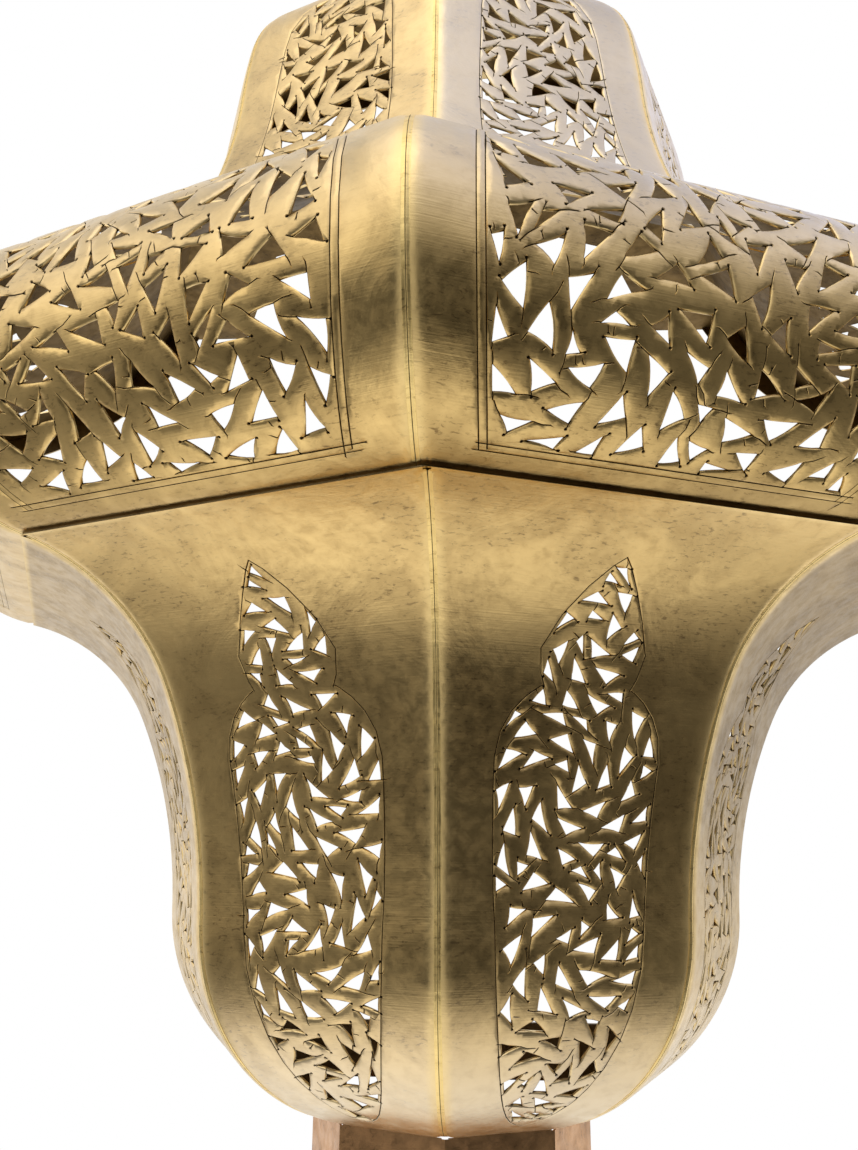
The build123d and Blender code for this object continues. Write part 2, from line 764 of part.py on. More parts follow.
# Lamp bracket: a bent strip screwed to the spine, with its arm out under the lampholder
arm_bottom = arm_height - arm_thickness
arm_end = lamp_distance + arm_width / 2
front = -spine_thickness
bracket_side = [
    (front, arm_height),
    (-arm_end, arm_height),
    (-arm_end, arm_bottom),
    (front - arm_thickness, arm_bottom),
    (front - arm_thickness, arm_height - foot_height),
    (front, arm_height - foot_height),
]
bracket = wide(Face(Wire.make_polygon([(0, y, z) for y, z in bracket_side], close=True)), arm_width / 2)
bracket = fillet(bracket.edges().filter_by(Axis.Z).sort_by(Axis.Y)[:2], 0.45 * arm_width)
bracket -= rod(nipple_radius + thread_play, arm_thickness + 2, (0, -lamp_distance, arm_bottom - 1), upward)
foot_middle = (arm_bottom + arm_height - foot_height) / 2
screws = []
for rise in (-foot_screw_spacing / 2, foot_screw_spacing / 2):
    height = foot_middle + rise
    screw = rod(foot_screw_radius, spine_thickness + arm_thickness, (0, 0, height), forward)
    screw += rod(foot_screw_head_radius, foot_screw_head_height, (0, front - arm_thickness, height), forward)
    slot = Box(2 * foot_screw_head_radius, foot_screw_head_height, foot_screw_head_height / 2)
    screw -= Pos(0, front - arm_thickness - foot_screw_head_height, height) * slot
    screws.append(screw)
    hole = rod(foot_screw_radius + thread_play, through + arm_thickness, (0, 1, height), forward)
    bracket -= hole
    nodes["spine"] -= hole
nodes["lamp_bracket"] = bracket
nodes["bracket_screws"] = screws


def tube(outer, inner, low, high):
    """Upright tube round the Z axis."""
    return rod(outer, high - low, (0, 0, low), upward) - rod(inner, high - low + 2, (0, 0, low - 1), upward)


# Lampholder: a threaded nipple and nut hold the cup on the arm, the sleeve stands on the cup
cup_top = arm_height + holder_cup_height
insert_top = cup_top + insert_height
lamp = {}
nipple_ends = (arm_bottom - nipple_below, arm_height + nipple_above)
lamp["holder_nipple"] = tube(nipple_radius, nipple_bore, *nipple_ends)
holder_nut = Pos(0, -lamp_distance, 0) * hex_nut(nipple_radius + thread_play, arm_bottom - nut_thickness)
nodes["lock_nuts"] = [finial_nut, holder_nut]
cup = rod(holder_radius, holder_cup_height, (0, 0, arm_height), upward)
cup -= rod(holder_radius - 2 * holder_wall, holder_cup_height, (0, 0, arm_height + cup_floor), upward)
lamp["holder_cup"] = cup - rod(nipple_radius + thread_play, cup_floor + 2, (0, 0, arm_height - 1), upward)
sleeve_top = cup_top + holder_sleeve_height
lamp["holder_sleeve"] = tube(holder_radius, holder_radius - holder_wall, cup_top, sleeve_top)
insert_radius = holder_radius - holder_wall - thread_play
lamp["holder_insert"] = rod(insert_radius, insert_height, (0, 0, cup_top), upward)
lamp["holder_contact"] = rod(contact_radius, contact_height, (0, 0, insert_top), upward)
shell_bore = cap_radius + cap_play
lamp["holder_thread"] = tube(shell_bore + shell_wall, shell_bore, insert_top, insert_top + shell_height)

# Bulb: a candle bulb with a small screw cap, its tip on the holder's contact
tip_bottom = insert_top + contact_height
cap_bottom = tip_bottom + tip_height
cap_top = cap_bottom + cap_height
glass_bottom = cap_top - glass_seat
lamp["bulb_tip"] = rod(tip_radius, tip_height, (0, 0, tip_bottom), upward)
cap = rod(cap_radius, cap_height, (0, 0, cap_bottom), upward)
cap_hollow = rod(glass_neck_radius + cap_play, cap_height, (0, 0, cap_bottom + cap_floor), upward)
lamp["bulb_cap"] = cap - cap_hollow
glass = {"start": (glass_neck_radius, glass_bottom), "heading": 90.0, "inward": 1, "ends": (0, 0)}
glass["arcs"] = [(glass_neck_run, 0), (glass_flare_radius, -glass_flare_sweep)]
glass["arcs"] += [(glass_belly_radius, glass_flare_sweep), (glass_taper_radius, glass_taper_sweep)]
taper_out, _, taper_angle = at(glass, chain_length(glass["arcs"]))
glass["arcs"].append((taper_out / math.sin(taper_angle), 90.0 - glass_taper_sweep))
lamp["bulb_glass"] = revolve(strip(glass, 0, glass_wall), Axis.Z)
floor = cap_bottom + cap_floor
stem_top = floor + stem_height
stem = rod(stem_radius, stem_height, (0, 0, floor), upward)
lamp["bulb_stem"] = stem + rod(filament_spread + filament_radius, stem_disc, (0, 0, stem_top), upward)
lamp["bulb_filaments"] = [
    rod(filament_radius, filament_height, (side * filament_spread, 0, stem_top + stem_disc), upward)
    for side in (-1, 1)
]
for name, shape in lamp.items():
    place = Pos(0, -lamp_distance, 0)
    nodes[name] = [place * one for one in shape] if isinstance(shape, list) else place * shape
print("bulb travel", thread_pitch * cap_turns, "mm, turn per metre", 2 * math.pi / thread_pitch * 1000)

# Wiring: a grommet for the supply in the spine, a terminal block, and the lead to the lampholder
block = Pos(0, front - block_size[1] / 2, -block_drop) * Box(*block_size)
block = fillet(block.edges().filter_by(Axis.Y), block_rounding)
block_front = front - block_size[1]
for side in (-1, 1):
    well = (side * block_size[0] / 4, block_front + block_well_depth, -block_drop + block_size[2] / 4)
    block -= rod(block_screw_radius, 2 * block_well_depth, well, forward)
nodes["terminal_block"] = block
grommet = rod(grommet_hole_radius - thread_play, spine_thickness, (0, 0, -grommet_drop), forward)
flange_radius = grommet_hole_radius + grommet_flange
grommet += rod(flange_radius, grommet_flange_height, (0, front, -grommet_drop), forward)
grommet_length = spine_thickness + grommet_flange_height
nodes["supply_grommet"] = grommet - rod(grommet_bore, grommet_length + 2, (0, 1, -grommet_drop), forward)
route = FilletPolyline(
    (0, block_front, -block_drop),
    (0, -lamp_distance, -block_drop),
    (0, -lamp_distance, arm_height),
    radius=lead_bend_share * (lamp_distance + block_front),
)
nodes["lamp_lead"] = sweep(Plane(origin=route @ 0, z_dir=route % 0) * Circle(lead_radius), path=route)
plain_volume = route.length * math.pi * lead_radius**2
print("lead length", route.length, "volume ratio", nodes["lamp_lead"].volume / plain_volume)

os.makedirs("parts", exist_ok=True)
for name, shape in nodes.items():
    solids = shape if isinstance(shape, list) else [shape]
    solids = [solid for one in solids for solid in one.solids()]
    export_step(solids[0] if len(solids) == 1 else Compound(children=solids), f"parts/{name}.step")
print(len(nodes), "nodes")
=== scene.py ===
import math
import random
from itertools import combinations

import bpy
import numpy as np
from mathutils import Matrix, Vector
from mathutils.geometry import delaunay_2d_cdt


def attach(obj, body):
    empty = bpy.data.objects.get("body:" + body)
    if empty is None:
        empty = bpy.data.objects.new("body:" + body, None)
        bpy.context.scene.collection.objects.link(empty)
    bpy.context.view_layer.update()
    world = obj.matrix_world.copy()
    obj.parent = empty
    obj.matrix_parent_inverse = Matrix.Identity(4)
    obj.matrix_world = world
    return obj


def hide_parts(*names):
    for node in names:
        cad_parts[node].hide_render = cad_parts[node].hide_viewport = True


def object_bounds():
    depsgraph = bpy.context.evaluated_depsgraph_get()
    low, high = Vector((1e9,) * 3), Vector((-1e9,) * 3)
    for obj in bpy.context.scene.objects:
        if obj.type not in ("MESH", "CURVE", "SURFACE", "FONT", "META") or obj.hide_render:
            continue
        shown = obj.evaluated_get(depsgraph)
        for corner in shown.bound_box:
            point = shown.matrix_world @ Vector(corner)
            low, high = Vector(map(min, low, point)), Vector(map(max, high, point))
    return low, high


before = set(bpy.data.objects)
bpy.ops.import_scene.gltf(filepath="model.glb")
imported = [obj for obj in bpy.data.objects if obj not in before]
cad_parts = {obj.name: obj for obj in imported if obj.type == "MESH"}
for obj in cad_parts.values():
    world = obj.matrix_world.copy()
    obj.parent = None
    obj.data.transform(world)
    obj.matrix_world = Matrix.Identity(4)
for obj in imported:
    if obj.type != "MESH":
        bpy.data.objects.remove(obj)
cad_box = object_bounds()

# Sheet brass of the three tiers
# Each tier has four facets of 1 mm sheet, bent one way only along a chain of arcs.  A facet is
# laid out flat, as x across it and s along its profile, in millimetres, and then bent to shape.
mm = 0.001
sheet = 1.0
# Half the turn from one facet to the next
half_turn = math.radians(22.5)
# A tier starts at (distance from the axis, height), heads off at an angle in degrees, and follows
# arcs of (radius, sweep).  Inward is 1 where the inside lies left of the way it runs and -1 where
# it lies right, and shift moves the tier to the right.
tiers = {
    "body": {
        "start": (152.5, -0.5),
        "heading": 194.5,
        "arcs": [(65.0, 52.0), (188.0, 21.5), (65.0, -83.5)],
        "inward": -1,
        "shift": 0.0,
    },
    "roof": {
        "start": (152.5, 0.5),
        "heading": 15.0,
        "arcs": [(49.0, 75.0), (32.5, 75.0), (88.7, -46.8)],
        "inward": 1,
        "shift": -2.5,
    },
    "tower": {
        "heading": 114.0,
        "arcs": [(165.0, -19.5), (295.0, 5.5), (43.0, 65.0), (38.0, 0.0)],
        "inward": 1,
        "shift": -2.5,
    },
}


def walk(tier, s):
    """Distance from the axis, height and heading at lengths s along a tier's outer profile.

    Each arc adds the chord of the part of it that lies before s, and turns the heading by its
    share of the sweep.  A sweep of 0 is a straight run, and both ends run on straight.
    """
    s = np.asarray(s, float)
    out = np.full_like(s, tier["start"][0])
    height = np.full_like(s, tier["start"][1])
    angle = np.full_like(s, math.radians(tier["heading"]))
    done = 0.0
    for radius, sweep in tier["arcs"]:
        run = radius * math.radians(abs(sweep)) if sweep else radius
        part = np.clip(s - done, 0, run)
        if sweep:
            side = math.copysign(radius, sweep)
            after = angle + part / side
            out = out + side * (np.sin(after) - np.sin(angle))
            height = height + side * (np.cos(angle) - np.cos(after))
            angle = after
        else:
            out = out + part * np.cos(angle)
            height = height + part * np.sin(angle)
        done += run
    past = np.minimum(s, 0) + np.maximum(s - done, 0)
    return out + past * np.cos(angle), height + past * np.sin(angle), angle


for name, tier in tiers.items():
    tier["name"] = name
    tier["length"] = sum(r * math.radians(abs(turn)) if turn else r for r, turn in tier["arcs"])
neck = walk(tiers["roof"], tiers["roof"]["length"])
tiers["tower"]["start"] = (float(neck[0]), float(neck[1]) + sheet)
for tier in tiers.values():
    tier["heights"] = sorted(float(walk(tier, s)[1]) for s in (0, tier["length"]))


def smooth(value):
    """Smooth step: three squares less two cubes of the value, held between 0 and 1."""
    value = np.clip(value, 0, 1)
    return value * value * (3 - 2 * value)


# Where a tier is cut level, its inner face runs on by this share of its depth at each end
run_on = {"body": (0, 0), "roof": (3.73, 0.54), "tower": (0, 3.73)}
run_on_fade = 14.0
least_rise = 1e-3
least_depth = 0.04


def bend(tier, azimuth, x, s, depth):
    """Places flat points (x, s) on a facet, depth inside its outer face, in metres.

    The profile point moves in along its normal, x keeps its share of the facet's width, and
    the facet turns about the lantern's axis.  The roof and the tower are cut level, so their
    inner face runs on at the ends, and no point passes the tier's top or bottom plane.
    """
    share = x / walk(tier, s)[0]
    near, far = run_on[tier["name"]]
    s = s - near * depth * (1 - smooth(s / run_on_fade))
    s = s + far * depth * (1 - smooth((tier["length"] - s) / run_on_fade))
    out, height, angle = walk(tier, s)
    rise = tier["inward"] * np.cos(angle)
    low, high = tier["heights"]
    steep = np.where(np.abs(rise) > least_rise, rise, least_rise)
    room = np.where(rise > 0, high - height, low - height) / steep
    depth = np.minimum(depth, np.maximum(room, least_depth))
    inner = out - depth * tier["inward"] * np.sin(angle)
    across = share * inner
    turn = math.radians(azimuth)
    places = [
        across * math.cos(turn) + inner * math.sin(turn) + tier["shift"],
        across * math.sin(turn) - inner * math.cos(turn),
        height + depth * rise,
    ]
    return np.stack(places, 1) * mm


# Pierced panels
# Twelve facets of hand-cut fretwork.  Triangles are chiselled out in whirls, the leaves of sheet
# left between them are rounded over, and saw cuts and pilot holes run on past their corners.
# The windows and whirls are those of the solid panels, so that both have the same holes.
bead_half = 1.0


def half_facet(tier, s):
    """Half the width of a facet: its distance from the axis times the tangent of half_turn."""
    return walk(tier, s)[0] * math.tan(half_turn)


def half_panel(tier, s):
    """Half the width of a facet's sheet, which leaves room for half a bead at each side."""
    return half_facet(tier, s) - bead_half / math.cos(half_turn)


def straight_sides(tier, margin, low, high):
    """Half-width of a window that keeps a margin at low and at high and runs straight between."""
    low_width = half_facet(tier, low) - margin
    high_width = half_facet(tier, high) - margin
    return lambda s: low_width + (high_width - low_width) * (s - low) / (high - low)


window_step = 7.0


def window(half_width, low, high, swell=None, rounds=(2, 2), full=None):
    """Outline of a window: half_width(s) on both sides from low to high along the profile.

    Past the stretch swell the width is multiplied by (1 - share**power) ** (1 / power), where
    share runs to 1 at the end of full, and rounds gives the power at each end: 1 is a straight
    point, 2 is an ellipse.
    """
    full = full or (low, high)
    swell = swell or (low, high)
    steps = math.ceil((high - low) / window_step)
    right = []
    for step in range(steps + 1):
        s = low + (high - low) * (1 - math.cos(math.pi * step / steps)) / 2
        fade = 1.0
        for end, belly, power in zip(full, swell, rounds):
            past = (belly - s) / (belly - end) if belly != end else 0
            if past > 0:
                fade = max(0, 1 - past**power) ** (1 / power)
        right.append((fade * float(half_width(s)), s))
    return right + [(-x, s) for x, s in reversed(right) if x > 0.01]


body, roof, tower = tiers["body"], tiers["roof"], tiers["tower"]
body_margin, roof_margin, tower_margin = 17.2, 18.5, 17.5
tear_half_width, tear_tip, tear_widest, tear_end, tear_foot = 15.3, 24, 52, 62, 70
flame_foot, flame_start, flame_low, flame_high, flame_tip = 60, 63.5, 84, 138, 197
roof_foot, roof_top = 10, 128
arch_foot, arch_spring, arch_tip = 14, 78, 103
# A tear above a flame on the body, cut off where they meet, and one window on the other tiers
tear = {"swell": (tear_widest, tear_widest), "rounds": (1.15, 2), "full": (tear_tip, tear_foot)}
flame = {"swell": (flame_low, flame_high), "rounds": (2, 1.7), "full": (flame_foot, flame_tip)}
flame_sides = straight_sides(body, body_margin, flame_low, flame_high)
body["windows"] = [
    window(lambda s: tear_half_width, tear_tip, tear_end, **tear),
    window(flame_sides, flame_start, flame_tip, **flame),
]
roof["windows"] = [window(lambda s: half_facet(roof, s) - roof_margin, roof_foot, roof_top)]
arch_sides = straight_sides(tower, tower_margin, arch_foot, arch_spring)
arch = {"swell": (arch_foot, arch_spring), "rounds": (2, 1.9)}
tower["windows"] = [window(arch_sides, arch_foot, arch_tip, **arch)]
# Rings of holes on each tier, and for its two versions a seed and the centres of the whirls
body["cut"] = {"row": 7.6, "long_side": 9.6, "rise": 3.9, "gap": 1.7, "slant": 31.0, "size": 0.88}
roof["cut"] = {"row": 9.6, "long_side": 11.6, "rise": 5.8, "gap": 1.9, "slant": 31.0, "size": 0.82}
tower["cut"] = {"row": 7.8, "long_side": 9.6, "rise": 4.4, "gap": 1.7, "slant": 30.0, "size": 0.88}
body["whirls"] = {
    "a": (18, [(0, 49), (3, 88), (-3, 133), (1, 174)]),
    "b": (24, [(1, 48), (-3, 90), (2, 131), (0, 172)]),
}
roof["whirls"] = {
    "a": (9, [(-29, 38), (29, 36), (-27, 92), (28, 90)]),
    "b": (14, [(-30, 35), (28, 38), (-26, 89), (27, 93)]),
}
tower["whirls"] = {"a": (3, [(3, 36), (-3, 76)]), "b": (24, [(-3, 38), (2, 78)])}


def area(points):
    """Signed area of a flat outline, positive when it runs anticlockwise."""
    pairs = zip(points, points[1:] + points[:1])
    return sum(ax * by - bx * ay for (ax, ay), (bx, by) in pairs) / 2


def trim(points, through, normal):
    """The part of a convex outline on the side of a line that the normal points to."""
    kept = []
    for (ax, ay), (bx, by) in zip(points, points[1:] + points[:1]):
        before = (ax - through[0]) * normal[0] + (ay - through[1]) * normal[1]
        after = (bx - through[0]) * normal[0] + (by - through[1]) * normal[1]
        if before >= 0:
            kept.append((ax, ay))
        if before * after < 0:
            share = before / (before - after)
            kept.append((ax + share * (bx - ax), ay + share * (by - ay)))
    return kept


def sides_of(points):
    """Each side of an anticlockwise outline, as its first point and its outward normal."""
    found = []
    for (ax, ay), (bx, by) in zip(points, points[1:] + points[:1]):
        length = math.hypot(bx - ax, by - ay)
        if length > 0.05:
            found.append(((ax, ay), ((by - ay) / length, (ax - bx) / length)))
    return found


def clear_of(points, sides, gap):
    """The largest part of an outline that one straight cut leaves a gap away from some sides."""
    best, most = [], 0
    for (px, py), (nx, ny) in sides:
        part = trim(points, (px + nx * gap, py + ny * gap), (nx, ny))
        if len(part) >= 3 and area(part) > most:
            best, most = part, area(part)
    return best


def within(sides, x, y):
    """Whether a point lies inside the sides of a convex outline."""
    return all((x - px) * nx + (y - py) * ny < 0 for (px, py), (nx, ny) in sides)


slant_play = 6
half_range = (0.46, 0.54)
tall_range = (0.9, 1.15)
lean_range = (-0.15, 0.4)
first_ring = 0.55
ring_spacing = 0.95
smallest_hole = 0.26
filler_grid = 2
filler_size = 0.75
filler_gap = 1.2
smallest_filler = 0.18


def whirl_holes(fields, whirls, row, long_side, rise, gap, slant, size, seed):
    """Holes chiselled in rings of slanting triangles round the whirls' centres.

    A triangle's long side faces the centre of its whirl, turned by slant.  Each new one is cut
    back from those already made, so that a leaf of sheet about a gap wide stays between, and
    the largest triangle between the corners left is the hole.  Two more passes over a fine
    grid fill the places left over, the second with smaller holes.  At the end each hole is made
    smaller about its middle, by size, so that the leaves get wider.
    """
    draw = random.Random(seed)
    holes = []
    edges = [sides_of(field) for field in fields]

    def nearest(x, y):
        return min(whirls, key=lambda whirl: math.hypot(x - whirl[0], y - whirl[1]))

    def chisel(x, y, share, least, leaf):
        field = next((sides for sides in edges if within(sides, x, y)), None)
        if field is None:
            return
        cx, cy = nearest(x, y)
        outward = math.atan2(y - cy, x - cx)
        turn = outward - math.pi / 2 + math.radians(slant + draw.uniform(-slant_play, slant_play))
        ux, uy = math.cos(turn), math.sin(turn)
        half = share * long_side * draw.uniform(*half_range)
        tall = share * rise * draw.uniform(*tall_range)
        lean = half * draw.uniform(*lean_range)
        corners = [(-half, -tall / 3), (half, -tall / 3), (lean, tall * 2 / 3)]
        hole = [(x + ux * p - uy * q, y + uy * p + ux * q) for p, q in corners]
        for (px, py), (nx, ny) in field:
            hole = trim(hole, (px, py), (-nx, -ny))
        for hx, hy, _, sides in holes:
            if hole and math.hypot(hx - x, hy - y) < 2 * long_side:
                hole = clear_of(hole, sides, leaf)
        if len(hole) < 3:
            return
        hole = list(max(combinations(hole, 3), key=area))
        if area(hole) >= least:
            middle_x = sum(p for p, _ in hole) / len(hole)
            middle_y = sum(q for _, q in hole) / len(hole)
            holes.append((middle_x, middle_y, hole, sides_of(hole)))

    xs = [x for field in fields for x, _ in field]
    ys = [y for field in fields for _, y in field]
    for ring in range(math.ceil((max(ys) - min(ys)) / row)):
        for cx, cy in whirls:
            radius = (ring + first_ring) * row
            count = max(3, round(2 * math.pi * radius / (ring_spacing * long_side)))
            phase = draw.random()
            for number in range(count):
                angle = 2 * math.pi * (number + phase) / count
                x, y = cx + radius * math.cos(angle), cy + radius * math.sin(angle)
                if nearest(x, y) == (cx, cy):
                    chisel(x, y, 1, smallest_hole * long_side * rise, gap)
    for share in (1, filler_size):
        for j in range(int((max(ys) - min(ys)) / filler_grid)):
            for i in range(int((max(xs) - min(xs)) / filler_grid)):
                x = min(xs) + filler_grid * i + draw.random()
                y = min(ys) + filler_grid * j + draw.random()
                chisel(x, y, share, smallest_filler * long_side * rise, filler_gap * gap)
    return [[(x + size * (p - x), y + size * (q - y)) for p, q in hole] for x, y, hole, _ in holes]


shortest_side = 0.3
shortest_bow = 4
bow_step = 1.9
bow_range = (-0.045, 0.055)


def bowed(hole, draw):
    """A hole's outline with its sides bowed a little, as flat parabolas in steps of about 2 mm."""
    rows = []
    for (ax, ay), (bx, by) in zip(hole, hole[1:] + hole[:1]):
        length = math.hypot(bx - ax, by - ay)
        if length < shortest_side:
            continue
        steps = max(1, round(length / bow_step))
        share = np.arange(steps) / steps
        bow = 0
        if length > shortest_bow:
            bow = length * draw.uniform(*bow_range) * 4 * share * (1 - share)
        x = ax + (bx - ax) * share + (by - ay) / length * bow
        y = ay + (by - ay) * share - (bx - ax) / length * bow
        rows.append(np.stack([x, y], 1))
    return np.concatenate(rows)


widest_mitre = 0.55


def offset(points, by, closed=True):
    """A polyline moved to its right by a distance, each point along the mean of its two normals.

    The distance is divided by the cosine between that mean and a normal, held above a limit.
    """
    step = np.roll(points, -1, 0) - points
    if not closed:
        step[-1] = step[-2]
    normal = np.stack([step[:, 1], -step[:, 0]], 1)
    normal /= np.linalg.norm(normal, axis=1)[:, None] + 1e-9
    before = np.roll(normal, 1, 0)
    if not closed:
        before[0] = normal[0]
    mean = normal + before
    mean /= np.linalg.norm(mean, axis=1)[:, None] + 1e-9
    stretch = np.maximum((mean * normal).sum(1), widest_mitre)
    return points + by * mean / stretch[:, None]


batch_size = 48


def distance(points, starts, ends, far=6.0):
    """Least distance, up to far, from each point to any of the segments.

    The point's foot on each segment is clipped to the segment's ends.  Segments are taken in
    batches along s, and each batch only looks at the points near it.
    """
    best = np.full(len(points), far)
    order = np.argsort(starts[:, 1] + ends[:, 1])
    for first in range(0, len(order), batch_size):
        batch = order[first : first + batch_size]
        low = np.minimum(starts[batch, 1], ends[batch, 1]).min() - far
        high = np.maximum(starts[batch, 1], ends[batch, 1]).max() + far
        near = np.flatnonzero((points[:, 1] > low) & (points[:, 1] < high))
        start, along = starts[batch], ends[batch] - starts[batch]
        x = points[near, 0:1] - start[:, 0]
        y = points[near, 1:2] - start[:, 1]
        share = (x * along[:, 0] + y * along[:, 1]) / ((along**2).sum(1) + 1e-12)
        share = np.clip(share, 0, 1)
        squares = (x - along[:, 0] * share) ** 2 + (y - along[:, 1] * share) ** 2
        best[near] = np.minimum(best[near], np.sqrt(squares.min(1)))
    return best


cut_width = 0.44
pilot_radius = 0.5
shortest_cut_side = 1.2
short_cut = (0.7, 1.7)
long_cut = (2.0, 5.5)
long_cut_share = 0.33
long_cut_clear = 1
longest_dotted = 1.4
sag_play = 0.08
tick_share = 0.16
tick_place = (0.2, 0.8)
tick_reach = (1.2, 2.4)
tick_slip = 0.5
tick_clear = 0.5
scribe_margins = (0.9, 3.0)
scribe_past = (2, 5)
cross_past = (3, 6)
ring_margin = 0.8


def saw_cuts(holes, windows, draw, double):
    """Centre lines of the saw cuts, and centres of the pilot holes.

    Past each corner of a hole a cut runs on a little way to its pilot hole.  A third of them
    run on much further where that stays within a window.  Short ticks cross the leaves, and
    lines are scribed round each window, double and crossing where double is set.
    """
    lines, dots = [], []
    fields = [sides_of(outline) for outline in windows]
    for hole in holes:
        for (px, py), (ax, ay), (bx, by) in zip(hole, hole[1:] + hole[:1], hole[2:] + hole[:2]):
            length = math.hypot(ax - px, ay - py)
            onward = math.hypot(bx - ax, by - ay)
            if min(length, onward) < shortest_cut_side:
                continue
            run = draw.uniform(*short_cut)
            longer = draw.uniform(*long_cut) if draw.random() < long_cut_share else run
            ux, uy = (ax - px) / length, (ay - py) / length
            if draw.random() < 0.5:
                ux, uy = (ax - bx) / onward, (ay - by) / onward
            end = (ax + ux * (longer + long_cut_clear), ay + uy * (longer + long_cut_clear))
            if any(within(sides, *end) for sides in fields):
                run = longer
            tip = (ax + ux * run, ay + uy * run)
            sag = draw.uniform(-sag_play, sag_play) * run
            middle = ((ax + tip[0]) / 2 - uy * sag, (ay + tip[1]) / 2 + ux * sag)
            lines.append(np.array([(ax, ay), middle, tip]))
            if run < longest_dotted:
                dots.append(tip)
            if draw.random() < tick_share:
                place = draw.uniform(*tick_place)
                mx, my = ax + (bx - ax) * place, ay + (by - ay) * place
                nx, ny = (by - ay) / onward, (ax - bx) / onward
                reach = draw.uniform(*tick_reach)
                slip = draw.uniform(-tick_slip, tick_slip)
                far = (mx + nx * reach + ny * slip, my + ny * reach - nx * slip)
                lines.append(np.array([(mx + tick_clear * nx, my + tick_clear * ny), far]))
    for outline in windows:
        points = np.array(outline)
        if double:
            low, high = points[:, 1].min(), points[:, 1].max()
            right = points[points[:, 0] > 0]
            for margin in scribe_margins:
                for side in (-1, 1):
                    line = right * (side, 1) + (side * margin, 0)
                    past = draw.uniform(*scribe_past)
                    step = line[0] - line[1]
                    line[0] += step / np.linalg.norm(step) * past
                    lines.append(line)
                for s, width in ((low - margin, right[0, 0]), (high + margin, right[-1, 0])):
                    left = -width - draw.uniform(*cross_past)
                    lines.append(np.array([(left, s), (width + draw.uniform(*cross_past), s)]))
        else:
            ring = offset(points, ring_margin)
            step = np.linalg.norm(np.roll(ring, -1, 0) - ring, axis=1)
            lines.append(np.roll(ring, -1 - np.argmax(step), 0))
    return lines, dots


border_step = 3.2
hole_ring = 0.4
pilot_sides = 6
pilot_rings = (1, 0.55)
window_grid, window_play, window_rim = 1.3, 0.3, 3
plain_grid, plain_play, plain_reach = (4.5, 3.6), 0.6, 60
inset_step = 2.4
border_insets = (0.9, 1.9, 3.1, 4.6, 6.6)
side_clear, end_clear, line_clear = 0.5, 0.6, 0.42
bevel_depth, bevel_width = 0.2, 0.42
leaf_depth, leaf_fall = 0.28, 0.7
rim_depth, rim_width = 0.06, 0.5
groove_depth = 0.24
pilot_depth = 0.45
pilot_steep = 1.6
edge_reach = 4


